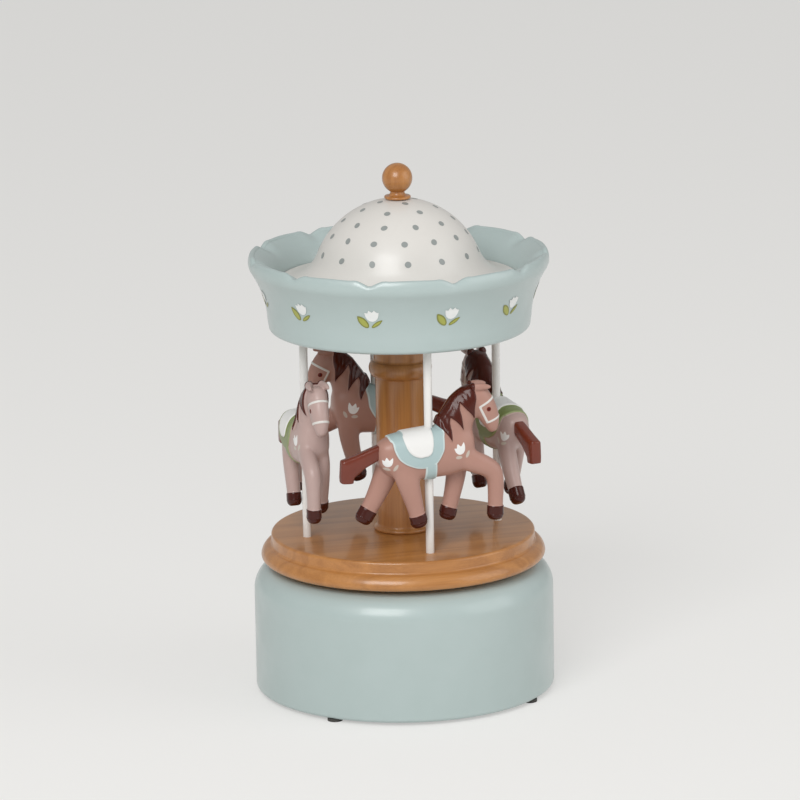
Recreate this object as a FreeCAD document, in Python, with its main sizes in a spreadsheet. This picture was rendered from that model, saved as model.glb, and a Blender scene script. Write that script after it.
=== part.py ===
import FreeCAD, Part
import math
import os
import re
import Sketcher
from FreeCAD import Placement, Rotation, Vector

# Carousel music box: a painted base with a wound musical movement inside, and on it a turntable
# with a pillar, four poles, four horses and a domed roof that turn together.
# The frame has its origin on the table under the middle of the base, with +Z up. The front horse
# stands at -Y and faces +X, and the others follow it counter-clockwise, seen from above.
# All sizes are millimetres, angles are degrees.

SIZES = {
    # Levels above the table
    "pad_height": 1.2,
    "cover_bottom": 14,
    "cover_top": 17,
    "deck_bottom": 42,
    "base_top": 50,
    "platform_bottom": 52,
    "platform_top": 62.5,
    "capital_bottom": 123.6,
    "capital_top": 129.6,
    "canopy_bottom": 142.4,
    "dome_floor": 159.6,
    "dome_brim": 161.6,
    "rim_top": 171.9,
    "dome_top": 192.5,
    "finial_top": 206.2,
    # Base
    "base_radius": 58,
    "base_shoulder": 10,
    "base_foot_round": 1.5,
    "recess_radius": 51.5,
    "cavity_radius": 46,
    "pad_radius": 2.9,
    "cover_gap": 0.2,
    "cover_screw_circle": 48.75,
    "sound_hole_radius": 2,
    "sound_hole_circle": 27,
    "sound_hole_count": 12,
    "bush_radius": 4,
    # Turntable, pillar and poles
    "platform_radius": 51,
    "platform_bead_radius": 55,
    "socket_depth": 4,
    "tenon_radius": 6,
    "flange_radius": 11,
    "flange_bottom": 51.6,
    "flange_height": 2.4,
    "flange_screw_circle": 8.2,
    "shaft_radius": 9.7,
    "capital_radius": 11.8,
    "pole_radius": 1.6,
    "pole_circle": 38.3,
    "fit_gap": 0.05,
    # Roof
    "canopy_radius": 50.2,
    "lip_radius": 56.6,
    "lip_bottom": 165.6,
    "lip_round": 6,
    "dish_radius": 46.2,
    "dome_radius": 33.5,
    "dome_flare": 15.8,
    "nick_count": 11,
    "nick_phase": 6.0,
    "nick_radius": 4,
    "nick_depth": 1.8,
    "finial_radius": 5.8,
    "dowel_radius": 3,
    # Horses, drawn at their real size about the pole
    "horse_scale": 1,
    "relief": 0.7,
    "right_turn": 9.5,
    # Spring drive
    "spindle_radius": 2,
    "spindle_top": 55.5,
    "barrel_bottom": 19,
    "barrel_top": 28.04,
    "barrel_radius": 12.4,
    "barrel_wall": 0.8,
    "crown_inner": 10.2,
    "crown_outer": 12.3,
    "crown_module": 0.62,
    "arbor_radius": 1.6,
    "pilot_radius": 1,
    "running_gap": 0.05,
    "spring_strip": 0.4,
    "spring_pitch": 1.6,
    # Pinned cylinder, its train and the governor
    "cylinder_level": 32.5,
    "cylinder_radius": 5.8,
    "cylinder_start": 15.4,
    "cylinder_length": 16,
    "cylinder_arbor": 0.9,
    "pin_radius": 0.25,
    "pin_reach": 6.3,
    "train_module": 0.42,
    "wheel_offset": 8.82,
    "worm_offset": 14.32,
    "worm_place": 34.8,
    "worm_root": 0.9,
    "worm_tip": 1.66,
    "fan_radius": 3.9,
    # Bedplate and comb
    "bedplate_bottom": 39.5,
    "comb_bottom": 32.1,
    "comb_top": 32.9,
    "comb_tip": 6.7,
    "comb_teeth": 18,
    # Winding key
    "key_bottom": 4.5,
    "key_top": 12.6,
    "key_wing": 7,
    "key_wing_radius": 4.4,
    "key_thickness": 1.8,
}

CROWN_TEETH = 36
PINION_TEETH = 12
WHEEL_TEETH = 30
GOVERNOR_PINION_TEETH = 12
WORM_WHEEL_TEETH = 20
PRESSURE_ANGLE = math.radians(20)
BACKLASH = 0.1
SIDES = {"front": 0, "right": 90, "back": 180, "left": 270}
ALONG_X = Rotation(Vector(0, 1, 0), 90)

doc = FreeCAD.newDocument("carousel_music_box")
sheet = doc.addObject("Spreadsheet::Sheet", "sizes")
pieces = []
cuts = []


def fill_sheet():
    """Writes the driving dimensions into the sheet, one aliased cell each."""
    for row, (alias, size) in enumerate(SIZES.items(), start=1):
        sheet.set(f"A{row}", alias)
        sheet.set(f"B{row}", str(size))
        sheet.setAlias(f"B{row}", alias)
    doc.recompute()


def cells(expression):
    """Expression with each alias written as a cell of the sheet."""
    def cell(word):
        return f"sizes.{word[0]}" if word[0] in SIZES else word[0]
    return re.sub(r"[a-z_]+", cell, expression)


def number(expression):
    """Value of an expression of aliases."""
    result = sheet.evalExpression(cells(expression))
    return float(getattr(result, "Value", result))


def bind(item, **properties):
    """Binds properties of a document object to expressions of aliases."""
    for path, expression in properties.items():
        item.setExpression(path.replace("__", "."), cells(expression))


def place(item, across="0", along="0", up="0", turn=Rotation()):
    """Puts an object at a bound point, with an optional turn."""
    item.Placement = Placement(Vector(number(across), number(along), number(up)), turn)
    bind(item, Placement__Base__x=across, Placement__Base__y=along, Placement__Base__z=up)
    return item


def keep(item, label):
    """Names an object as a sub-part to be written."""
    item.Label = label
    pieces.append(item)
    return item


def sketch_on(body, role, level="0"):
    """Sketch on one of a body's origin planes, lifted along the plane's normal."""
    sketch = body.newObject("Sketcher::SketchObject", "sketch")
    sketch.AttachmentSupport = [(next(f for f in body.Origin.OriginFeatures if f.Role == role), "")]
    sketch.MapMode = "FlatFace"
    bind(sketch, AttachmentOffset__Base__z=level)
    return sketch


def hold(sketch, kind, geometry, position, expression):
    """Ties one coordinate of a point, or a radius, to an expression."""
    if kind == "Radius":
        rule = Sketcher.Constraint(kind, geometry, number(expression))
    elif expression == "0":
        axis = -2 if kind == "DistanceX" else -1
        sketch.addConstraint(Sketcher.Constraint("PointOnObject", geometry, position, axis))
        return
    else:
        rule = Sketcher.Constraint(kind, -1, 1, geometry, position, number(expression))
    name = f"{kind.lower()}_{sketch.ConstraintCount}"
    sketch.renameConstraint(sketch.addConstraint(rule), name)
    bind(sketch, **{f"Constraints__{name}": expression})


def arc(begin, end, radius, turn):
    """Arc between two points, counter-clockwise for a turn of 1 and clockwise for -1."""
    chord = end - begin
    left = Vector(-chord.y, chord.x, 0).normalize()
    rise = math.sqrt(max(radius ** 2 - chord.Length ** 2 / 4, 0))
    circle = Part.Circle((begin + end) * 0.5 + left * rise * turn, Vector(0, 0, 1), radius)
    first, last = (begin, end) if turn > 0 else (end, begin)
    return Part.ArcOfCircle(circle, circle.parameter(first), circle.parameter(last))


def outline(sketch, corners):
    """Closed outline. A corner is (across, up), or (across, up, radius, turn) after an arc."""
    points = [Vector(number(corner[0]), number(corner[1]), 0) for corner in corners]
    ends = []
    for index, (across, up, *bend) in enumerate(corners):
        begin, end = points[index - 1], points[index]
        if bend:
            geometry = sketch.addGeometry(arc(begin, end, number(bend[0]), bend[1]), False)
            hold(sketch, "Radius", geometry, None, bend[0])
        else:
            geometry = sketch.addGeometry(Part.LineSegment(begin, end), False)
        finish = 1 if bend and bend[1] < 0 else 2
        ends.append((geometry, 3 - finish, finish))
        hold(sketch, "DistanceX", geometry, finish, across)
        hold(sketch, "DistanceY", geometry, finish, up)
    for (last, _, finish), (following, start, _) in zip(ends, ends[1:] + ends[:1]):
        sketch.addConstraint(Sketcher.Constraint("Coincident", last, finish, following, start))
    return sketch


def discs(sketch, circles):
    """Circles given as (across, up, radius)."""
    for across, up, radius in circles:
        centre = Vector(number(across), number(up), 0)
        geometry = sketch.addGeometry(Part.Circle(centre, Vector(0, 0, 1), number(radius)), False)
        hold(sketch, "DistanceX", geometry, 3, across)
        hold(sketch, "DistanceY", geometry, 3, up)
        hold(sketch, "Radius", geometry, None, radius)
    return sketch


def new_body(name):
    """Empty body."""
    return doc.addObject("PartDesign::Body", name)


def revolve(body, corners):
    """Turns an outline of (radius, level) corners about the body's Z axis."""
    sketch = outline(sketch_on(body, "XZ_Plane"), corners)
    feature = body.newObject("PartDesign::Revolution", "turning")
    feature.Profile = sketch
    feature.ReferenceAxis = (sketch, ["V_Axis"])
    feature.Angle = 360
    return body


def pad(body, sketch, length, middle=False):
    """Raises a sketch along its normal, or to both sides of its plane."""
    feature = body.newObject("PartDesign::Pad", "pad")
    feature.Profile = sketch
    feature.Midplane = middle
    bind(feature, Length=length)
    return feature


def pocket(body, sketch, length):
    """Cuts a sketch away along its normal."""
    feature = body.newObject("PartDesign::Pocket", "pocket")
    feature.Profile = sketch
    feature.Reversed = True
    bind(feature, Length=length)
    cuts.append(feature)
    return feature


def repeat_round(body, feature, count):
    """Repeats a feature evenly about the body's Z axis."""
    pattern = body.newObject("PartDesign::PolarPattern", "round")
    pattern.Originals = [feature]
    pattern.Axis = (next(f for f in body.Origin.OriginFeatures if f.Role == "Z_Axis"), [""])
    pattern.Angle = 360
    bind(pattern, Occurrences=str(count))
    body.Tip = pattern
    return pattern


def cylinder(name, radius, height):
    """Upright cylinder."""
    item = doc.addObject("Part::Cylinder", name)
    bind(item, Radius=radius, Height=height)
    return item


def combine(kind, name, base, tool):
    """Part::Cut or Part::Common of two objects."""
    item = doc.addObject(kind, name)
    item.Base = base
    item.Tool = tool
    return item


def union(name, items):
    """Fuses several objects into one solid."""
    item = doc.addObject("Part::MultiFuse", name)
    item.Shapes = items
    return item


def chain(name, items):
    """Fuses objects one after the other, which suits lofted forms best."""
    form = items[0]
    for item in items[1:]:
        form = combine("Part::Fuse", name, form, item)
    return form


def group(name, items):
    """Keeps several separate solids in one object."""
    item = doc.addObject("Part::Compound", name)
    item.Links = items
    return item


def screws(label, spots, head_level, head_height, head_radius, shank_radius, shank_length, sunk):
    """Screws that point up at (across, along) spots, with sunk cone heads or flat cheese heads."""
    items = []
    for across, along in spots:
        if sunk:
            head = doc.addObject("Part::Cone", "screw_head")
            bind(head, Radius1=head_radius, Radius2=shank_radius, Height=head_height)
        else:
            head = cylinder("screw_head", head_radius, head_height)
        place(head, across, along, head_level)
        shank = cylinder("screw_shank", shank_radius, f"{shank_length} + {head_height}")
        place(shank, across, along, head_level)
        items.append(union("screw", [head, shank]))
    return keep(group(label, items), label)


def on_circle(circle, angle):
    """Bound point at an angle on a circle, counted from -Y counter-clockwise."""
    return f"{circle} * sin({angle})", f"0 - {circle} * cos({angle})"


def involute(angle):
    """Involute function of a pressure angle."""
    return math.tan(angle) - angle


def tooth_half_width(teeth, radius):
    """Half width of an involute tooth at a radius, both in modules, with backlash taken off."""
    pitch_radius = teeth / 2
    base_radius = pitch_radius * math.cos(PRESSURE_ANGLE)
    angle = math.acos(min(base_radius / radius, 1))
    half_angle = math.pi / (2 * teeth) + involute(PRESSURE_ANGLE) - involute(angle)
    return max(radius, base_radius) * half_angle - BACKLASH


def cut_gear(body, teeth, module, level, width, addendum=1.0, dedendum=1.2):
    """Adds a toothed disc round the body's Z axis, with one tooth on +X."""
    pitch_radius = teeth / 2
    root = pitch_radius - dedendum
    blank = discs(sketch_on(body, "XY_Plane", level), [("0", "0", f"{root} * {module}")])
    pad(body, blank, width)
    inside = root - 0.3
    radii = [inside, root, pitch_radius, pitch_radius + addendum]
    halves = [tooth_half_width(teeth, max(radius, root)) for radius in radii]
    flank = [(f"{radius} * {module}", f"{half:.4f} * {module}") for radius, half in zip(radii, halves)]
    mirrored = [(across, f"0 - {up}") for across, up in reversed(flank)]
    tooth = pad(body, outline(sketch_on(body, "XY_Plane", level), flank + mirrored), width)
    repeat_round(body, tooth, teeth)


def base_shell():
    """Painted base, hollow from below, with a ledge for the bottom cover."""
    body = revolve(new_body("base_shell"), [
        ("bush_radius", "deck_bottom"),
        ("cavity_radius", "deck_bottom"),
        ("cavity_radius", "cover_top"),
        ("recess_radius", "cover_top"),
        ("recess_radius", "pad_height"),
        ("base_radius - base_foot_round", "pad_height"),
        ("base_radius", "pad_height + base_foot_round", "base_foot_round", 1),
        ("base_radius", "base_top - base_shoulder"),
        ("base_radius - base_shoulder", "base_top", "base_shoulder", 1),
        ("bush_radius", "base_top"),
    ])
    ledge_holes = [(*on_circle("cover_screw_circle", angle + 45), "0.9") for angle in SIDES.values()]
    pocket(body, discs(sketch_on(body, "XY_Plane", "cover_top"), ledge_holes), "8")
    deck_holes = [(across, along, "1") for across, along in BEDPLATE_SCREWS]
    pocket(body, discs(sketch_on(body, "XY_Plane", "deck_bottom"), deck_holes), "5")
    keep(body, "base_shell")


def underside():
    """Felt pads, bottom cover with sound holes, its screws and the bush for the winding arbor."""
    pads = []
    for angle in SIDES.values():
        across, along = on_circle("(base_radius + recess_radius) / 2", angle + 45)
        pads.append(place(cylinder("felt_pad", "pad_radius", "pad_height"), across, along))
    keep(group("felt_pads", pads), "felt_pads")
    body = new_body("bottom_cover")
    sheet_disc = [("0", "0", "recess_radius - cover_gap"), ("0", "0", "3.5 + fit_gap")]
    pad(body, discs(sketch_on(body, "XY_Plane", "cover_bottom"), sheet_disc), "cover_top - cover_bottom")
    holes = [(*on_circle("cover_screw_circle", angle + 45), "1.85") for angle in SIDES.values()]
    pocket(body, discs(sketch_on(body, "XY_Plane", "cover_bottom"), holes), "cover_top - cover_bottom")
    sound_hole = [("sound_hole_circle", "0", "sound_hole_radius")]
    drilled = pocket(body, discs(sketch_on(body, "XY_Plane", "cover_bottom"), sound_hole), "5")
    repeat_round(body, drilled, "sound_hole_count")
    keep(body, "bottom_cover")
    spots = [on_circle("cover_screw_circle", angle + 45) for angle in SIDES.values()]
    screws("cover_screws", spots, "cover_bottom", "1.2", "1.8", "0.85", "8", sunk=True)
    bush = revolve(new_body("key_bush"), [
        ("arbor_radius + running_gap", "cover_bottom - 1"),
        ("5", "cover_bottom - 1"),
        ("5", "cover_bottom"),
        ("3.5", "cover_bottom"),
        ("3.5", "cover_top"),
        ("arbor_radius + running_gap", "cover_top"),
    ])
    keep(bush, "key_bush")


def turntable_bearing():
    """Flanged bush in the base and the washer that the turntable runs on."""
    bush = revolve(new_body("spindle_bush"), [
        ("spindle_radius + running_gap", "deck_bottom"),
        ("bush_radius - fit_gap", "deck_bottom"),
        ("bush_radius - fit_gap", "base_top"),
        ("6.2", "base_top"),
        ("6.2", "base_top + 1"),
        ("spindle_radius + running_gap", "base_top + 1"),
    ])
    keep(bush, "spindle_bush")
    washer = revolve(new_body("thrust_washer"), [
        ("spindle_radius + 0.1", "base_top + 1"),
        ("5.8", "base_top + 1"),
        ("5.8", "base_top + 1.5"),
        ("spindle_radius + 0.1", "base_top + 1.5"),
    ])
    keep(washer, "thrust_washer")


def spring_drive():
    """Spindle, spring barrel with its crown of teeth, lid, mainspring and the turntable's flange."""
    spindle = revolve(new_body("drive_spindle"), [
        ("pilot_radius + running_gap", "barrel_top - 1"),
        ("spindle_radius", "barrel_top - 1"),
        ("spindle_radius", "spindle_top - 0.4"),
        ("spindle_radius - 0.4", "spindle_top"),
        ("0", "spindle_top"),
        ("0", "barrel_top + 2.5"),
        ("pilot_radius + running_gap", "barrel_top + 2.5"),
    ])
    keep(spindle, "drive_spindle")
    barrel = revolve(new_body("spring_barrel"), [
        ("spindle_radius + 0.02", "barrel_top - 1.1"),
        ("barrel_radius - barrel_wall", "barrel_top - 1.1"),
        ("barrel_radius - barrel_wall", "barrel_bottom"),
        ("barrel_radius", "barrel_bottom"),
        ("barrel_radius", "barrel_top"),
        ("4", "barrel_top"),
        ("4", "barrel_top + 2"),
        ("spindle_radius + 0.02", "barrel_top + 2"),
    ])
    slope = math.tan(PRESSURE_ANGLE)
    depth, height = 1.194, 1.9
    middle_half = math.pi / 4 - 0.17
    root_half, tip_half = middle_half + depth * slope, middle_half - (height - depth) * slope
    tooth = outline(sketch_on(barrel, "YZ_Plane", "crown_inner"), [
        (f"{root_half:.4f} * crown_module", "barrel_top - 0.2"),
        (f"{root_half:.4f} * crown_module", "barrel_top"),
        (f"{tip_half:.4f} * crown_module", f"barrel_top + {height} * crown_module"),
        (f"0 - {tip_half:.4f} * crown_module", f"barrel_top + {height} * crown_module"),
        (f"0 - {root_half:.4f} * crown_module", "barrel_top"),
        (f"0 - {root_half:.4f} * crown_module", "barrel_top - 0.2"),
    ])
    repeat_round(barrel, pad(barrel, tooth, "crown_outer - crown_inner"), CROWN_TEETH)
    keep(barrel, "spring_barrel")
    lid = revolve(new_body("barrel_lid"), [
        ("arbor_radius + 0.1", "barrel_bottom"),
        ("barrel_radius - barrel_wall - fit_gap", "barrel_bottom"),
        ("barrel_radius - barrel_wall - fit_gap", "barrel_bottom + 1"),
        ("arbor_radius + 0.1", "barrel_bottom + 1"),
    ])
    keep(lid, "barrel_lid")
    flange = revolve(new_body("drive_flange"), [
        ("spindle_radius + 0.02", "flange_bottom"),
        ("5.5", "flange_bottom"),
        ("5.5", "platform_bottom"),
        ("flange_radius", "platform_bottom"),
        ("flange_radius", "platform_bottom + flange_height"),
        ("spindle_radius + 0.02", "platform_bottom + flange_height"),
    ])
    spots = [on_circle("flange_screw_circle", 120 * turn) for turn in range(3)]
    holes = discs(sketch_on(flange, "XY_Plane", "platform_bottom"), [(*spot, "1.45") for spot in spots])
    pocket(flange, holes, "flange_height")
    keep(flange, "drive_flange")
    screws("flange_screws", spots, "platform_bottom", "1", "1.4", "0.75", "5", sunk=True)


def mainspring():
    """Strip wound in half turns about two centres, from the arbor out to the barrel's wall."""
    strip, step = number("spring_strip"), number("spring_pitch") / 2
    start = number("arbor_radius") + 0.7
    room = number("barrel_radius - barrel_wall - 0.3") - strip - start
    half_turns = 2 * math.floor(room / step / 2)
    sides = []
    for offset in (0, strip):
        edges = []
        for turn in range(half_turns):
            radius = start + offset + step * turn + step / 2
            sign = 1 if turn % 2 == 0 else -1
            centre = Vector(-sign * step / 2, 0, 0)
            first = centre + Vector(sign * radius, 0, 0)
            top = centre + Vector(0, sign * radius, 0)
            edges.append(Part.Arc(first, top, centre * 2 - first).toShape())
        sides.append(edges)
    inner, outer = sides
    first_cap = Part.LineSegment(inner[0].firstVertex().Point, outer[0].firstVertex().Point).toShape()
    last_cap = Part.LineSegment(inner[-1].lastVertex().Point, outer[-1].lastVertex().Point).toShape()
    loop = Part.sortEdges(inner + outer + [first_cap, last_cap])[0]
    face = Part.Face(Part.Wire(loop))
    bottom = number("barrel_bottom + 1.4")
    item = doc.addObject("Part::Feature", "mainspring")
    item.Shape = face.extrude(Vector(0, 0, number("barrel_top - 1.6") - bottom))
    item.Placement = Placement(Vector(0, 0, bottom), Rotation())
    keep(item, "mainspring")


def winding():
    """Winding arbor with its collar, and the key with two rounded wings."""
    arbor = revolve(new_body("winding_arbor"), [
        ("0", "key_bottom + 1.6"),
        ("arbor_radius", "key_bottom + 1.6"),
        ("arbor_radius", "cover_top + 0.4"),
        ("2.4", "cover_top + 0.4"),
        ("2.4", "barrel_bottom - 0.4"),
        ("arbor_radius", "barrel_bottom - 0.4"),
        ("arbor_radius", "barrel_top - 1.6"),
        ("pilot_radius", "barrel_top - 1.6"),
        ("pilot_radius", "barrel_top + 2.2"),
        ("0", "barrel_top + 2.2"),
    ])
    keep(arbor, "winding_arbor")
    key = revolve(new_body("winding_key"), [
        ("0", "key_bottom"),
        ("2.6", "key_bottom"),
        ("3", "key_bottom + 0.4"),
        ("3", "key_top"),
        ("arbor_radius + 0.02", "key_top"),
        ("arbor_radius + 0.02", "key_bottom + 1.5"),
        ("0", "key_bottom + 1.5"),
    ])
    middle = "key_bottom + 2.6"
    for side in ("", "0 - "):
        inner = f"{side}2.8"
        bend = -1 if side else 1
        wing = [
            (inner, f"{middle} - 1.9"),
            (f"{side}key_wing", f"{middle} - key_wing_radius"),
            (f"{side}key_wing", f"{middle} + key_wing_radius", "key_wing_radius * 1.0001", bend),
            (inner, f"{middle} + 1.9"),
        ]
        pad(key, outline(sketch_on(key, "XZ_Plane"), wing), "key_thickness", middle=True)
    eyes = [("key_wing + 1", middle, "1.6"), ("0 - key_wing - 1", middle, "1.6")]
    pocket(key, discs(sketch_on(key, "XZ_Plane", "0 - key_thickness"), eyes), "2 * key_thickness")
    keep(key, "winding_key")


def pole_sockets():
    """Rounds of the four pole sockets, the same in the platform and in the roof."""
    return [(*on_circle("pole_circle", angle), "pole_radius + fit_gap") for angle in SIDES.values()]


def platform():
    """Turntable disc with a moulded edge, sockets for pillar and poles and a seat for the flange."""
    socket = "platform_top - socket_depth"
    body = revolve(new_body("platform"), [
        ("0", "spindle_top + 0.5"),
        ("spindle_radius + 0.1", "spindle_top + 0.5"),
        ("spindle_radius + 0.1", "platform_bottom + flange_height + fit_gap"),
        ("flange_radius + 0.1", "platform_bottom + flange_height + fit_gap"),
        ("flange_radius + 0.1", "platform_bottom"),
        ("platform_bead_radius - 1.1", "platform_bottom"),
        ("platform_bead_radius", "platform_bottom + 1.7", "1.9", 1),
        ("platform_radius + 1.6", "platform_bottom + 5.4", "4.6", 1),
        ("platform_radius + 0.8", "platform_bottom + 5.5"),
        ("platform_radius", "platform_bottom + 6.5", "1", -1),
        ("platform_radius", "platform_top - 1.1"),
        ("platform_radius - 1.1", "platform_top", "1.1", 1),
        ("tenon_radius + fit_gap", "platform_top"),
        ("tenon_radius + fit_gap", socket),
        ("0", socket),
    ])
    pocket(body, discs(sketch_on(body, "XY_Plane", socket), pole_sockets()), "socket_depth")
    spots = [(*on_circle("flange_screw_circle", 120 * turn), "0.8") for turn in range(3)]
    seat = "platform_bottom + flange_height"
    pocket(body, discs(sketch_on(body, "XY_Plane", seat), spots), "3.7")
    keep(body, "platform")


def column():
    """Turned pillar with a foot, a ringed capital and a tenon at each end."""
    body = revolve(new_body("column"), [
        ("0", "platform_top - socket_depth + fit_gap"),
        ("tenon_radius", "platform_top - socket_depth + fit_gap"),
        ("tenon_radius", "platform_top"),
        ("shaft_radius + 1", "platform_top"),
        ("shaft_radius + 1", "platform_top + 1.6"),
        ("shaft_radius", "platform_top + 2.8", "1.3", -1),
        ("shaft_radius", "capital_bottom - 1"),
        ("shaft_radius + 0.9", "capital_bottom", "1", -1),
        ("capital_radius - 0.6", "capital_bottom"),
        ("capital_radius - 0.6", "capital_top", "4.6", 1),
        ("shaft_radius + 0.9", "capital_top"),
        ("shaft_radius + 0.5", "capital_top + 1.4", "1.5", -1),
        ("shaft_radius + 1.8", "canopy_bottom", "25", -1),
        ("tenon_radius", "canopy_bottom"),
        ("tenon_radius", "canopy_bottom + 6"),
        ("0", "canopy_bottom + 6"),
    ])
    keep(body, "column")


def canopy():
    """Roof ring: a dished disc with a flared wall, a rolled lip and small nicks in its rim."""
    body = revolve(new_body("canopy"), [
        ("0", "canopy_bottom + 6 + fit_gap"),
        ("tenon_radius + fit_gap", "canopy_bottom + 6 + fit_gap"),
        ("tenon_radius + fit_gap", "canopy_bottom"),
        ("canopy_radius - 1.8", "canopy_bottom"),
        ("canopy_radius", "canopy_bottom + 1.8", "1.8", 1),
        ("canopy_radius + 0.4", "canopy_bottom + 4.5"),
        ("lip_radius", "lip_bottom", "38", -1),
        ("lip_radius + 0.2", "rim_top", "lip_round", 1),
        ("lip_radius - 1.6", "rim_top - 0.6", "1.2", 1),
        ("dish_radius", "dome_brim + 0.3", "16", 1),
        ("dish_radius", "dome_floor"),
        ("0", "dome_floor"),
    ])
    pocket(body, discs(sketch_on(body, "XY_Plane", "canopy_bottom"), pole_sockets()), "6")
    nick = sketch_on(body, "YZ_Plane")
    heading = "nick_phase - 90 + 3 * 360 / nick_count"
    nick.AttachmentOffset = Placement(Vector(), Rotation(Vector(0, 1, 0), number(heading)))
    bind(nick, AttachmentOffset__Rotation__Angle=heading)
    discs(nick, [("0", "rim_top + nick_radius - nick_depth", "nick_radius")])
    repeat_round(body, pocket(body, nick, "base_radius"), "nick_count")
    keep(body, "canopy")


def dome():
    """Round dome that runs out into a hollow skirt and a thin brim."""
    leave = 22
    centre = "dome_top - dome_radius"
    body = revolve(new_body("dome"), [
        ("0", "dome_floor"),
        ("dish_radius - 0.3", "dome_floor"),
        ("dish_radius - 0.3", "dome_brim"),
        (f"dome_radius * cos({leave})", f"{centre} + dome_radius * sin({leave})", "dome_flare", -1),
        ("dowel_radius + fit_gap", f"{centre} + sqrt(dome_radius ^ 2 - (dowel_radius + fit_gap) ^ 2)",
         "dome_radius", 1),
        ("dowel_radius + fit_gap", "dome_top - 9"),
        ("0", "dome_top - 9"),
    ])
    keep(body, "dome")


def finial():
    """Turned knob: dowel, collar, neck and ball."""
    ball = "finial_top - finial_radius"
    body = revolve(new_body("finial"), [
        ("0", "dome_top - 8.9"),
        ("dowel_radius", "dome_top - 8.9"),
        ("dowel_radius", "dome_top"),
        ("4.6", "dome_top"),
        ("4.6", "dome_top + 1.2", "0.8", 1),
        ("2.8", f"{ball} - sqrt(finial_radius ^ 2 - 2.8 ^ 2)", "1.3", -1),
        ("finial_radius", ball, "finial_radius", 1),
        ("0", "finial_top", "finial_radius", 1),
    ])
    keep(body, "finial")


def poles():
    """Straight poles from the platform's sockets to the roof's sockets."""
    foot = "platform_top - socket_depth + fit_gap"
    for side, angle in SIDES.items():
        pole = cylinder(f"pole_{side}", "pole_radius", f"canopy_bottom + 6 - fit_gap - ({foot})")
        keep(place(pole, *on_circle("pole_circle", angle), foot), f"pole_{side}")


def scaled(size):
    """Horse size in the sheet's horse scale."""
    return f"{size} * horse_scale"


def section(forward, sideways, up, heading, half_fore, half_side, swell="0"):
    """Oval across a limb that runs at a heading above the horizontal."""
    oval = doc.addObject("Part::Ellipse", "oval")
    bind(oval, MajorRadius=f"{scaled(half_fore)} + {swell}", MinorRadius=f"{scaled(half_side)} + {swell}")
    turn = Rotation(Vector(0, 1, 0), 90 - heading)
    return place(oval, scaled(forward), scaled(sideways), scaled(up), turn)


def limb(name, sections):
    """Solid lofted through ovals."""
    item = doc.addObject("Part::Loft", name)
    item.Sections = sections
    item.Solid = True
    return item


def trunk(swell="0"):
    """Barrel of the horse from rump to chest, as (forward, up, half height, half width)."""
    ovals = [
        (-20.6, 40.2, 3.3, 2.8),
        (-18.9, 39.7, 5.8, 5.1),
        (-14.0, 38.6, 8.6, 6.8),
        (-4.4, 38.7, 9.3, 7.1),
        (5.2, 39.3, 9.6, 7.0),
        (11.6, 40.2, 9.8, 6.7),
        (15.8, 41.1, 7.8, 5.5),
        (17.7, 41.5, 4.4, 3.4),
    ]
    return limb("trunk", [section(u, 0, z, 0, high, wide, swell) for u, z, high, wide in ovals])


def neck(swell="0"):
    """Arched neck from the withers to the poll, as (forward, up, heading, half fore, half side)."""
    ovals = [
        (8.9, 43.2, 71, 8.7, 6.2),
        (10.9, 50.6, 62, 6.8, 5.2),
        (14.2, 56.3, 48, 6.0, 4.7),
        (18.1, 59.5, 22, 5.0, 4.3),
        (20.4, 60.0, 0, 4.1, 3.8),
    ]
    return limb("neck", [section(u, 0, z, lean, fore, side, swell) for u, z, lean, fore, side in ovals])


def head():
    """Head from the poll down to the muzzle, in the order of the neck's ovals."""
    ovals = [
        (18.9, 60.6, -41, 3.7, 3.4),
        (20.0, 59.7, -51, 4.3, 3.8),
        (21.8, 56.9, -63, 4.4, 3.9),
        (23.4, 53.2, -67, 4.0, 3.5),
        (25.2, 49.8, -67, 3.4, 3.1),
        (26.2, 47.2, -69, 2.8, 2.7),
        (26.6, 45.9, -69, 1.8, 1.7),
    ]
    return limb("head", [section(u, 0, z, lean, fore, side) for u, z, lean, fore, side in ovals])


# Legs: sideways place, joints as (forward, up, heading, half fore, half side), middle of the sole.
LEGS = {
    "near_fore": (-3.5, [
        (10.5, 37.7, -22, 5.0, 2.6),
        (18.1, 34.5, -20, 4.4, 3.4),
        (22.4, 32.6, -33, 4.1, 3.4),
        (24.9, 30.0, -62, 3.85, 3.3),
        (25.4, 25.7, -89, 3.3, 3.1),
        (25.0, 17.8, -92, 2.9, 2.8),
    ], (24.9, 12.4)),
    "far_fore": (3.5, [
        (12.1, 38.9, -93, 4.9, 2.6),
        (12.1, 29.4, -98, 4.15, 3.4),
        (9.1, 17.2, -107, 2.9, 2.8),
    ], (7.5, 12.2)),
    "near_hind": (-3.5, [
        (-12.0, 39.1, -75, 5.7, 2.9),
        (-9.0, 28.4, -73, 4.6, 3.4),
        (-5.9, 16.9, -74, 2.85, 2.75),
    ], (-4.7, 11.9)),
    "far_hind": (3.5, [
        (-13.4, 39.7, -107, 5.7, 2.9),
        (-16.7, 28.9, -117, 4.7, 3.4),
        (-22.5, 18.7, -121, 3.1, 2.9),
    ], (-25.7, 13.6)),
}


def leg(side, joints, sole):
    """Leg lofted through its joints, with a hoof down to the middle of its sole."""
    upper = limb("leg", [section(u, side, z, lean, fore, wide) for u, z, lean, fore, wide in joints])
    u, z, lean = joints[-1][:3]
    inset = 0.8
    cuff_u = round(u - inset * math.cos(math.radians(lean)), 3)
    cuff_z = round(z - inset * math.sin(math.radians(lean)), 3)
    cuff = section(cuff_u, side, cuff_z, lean, 3.25, 3.15)
    sole_u, sole_z = sole
    hoof = limb("hoof", [cuff, section(sole_u, side, sole_z, lean, 3.5, 3.4)])
    return [upper, hoof]


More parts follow.
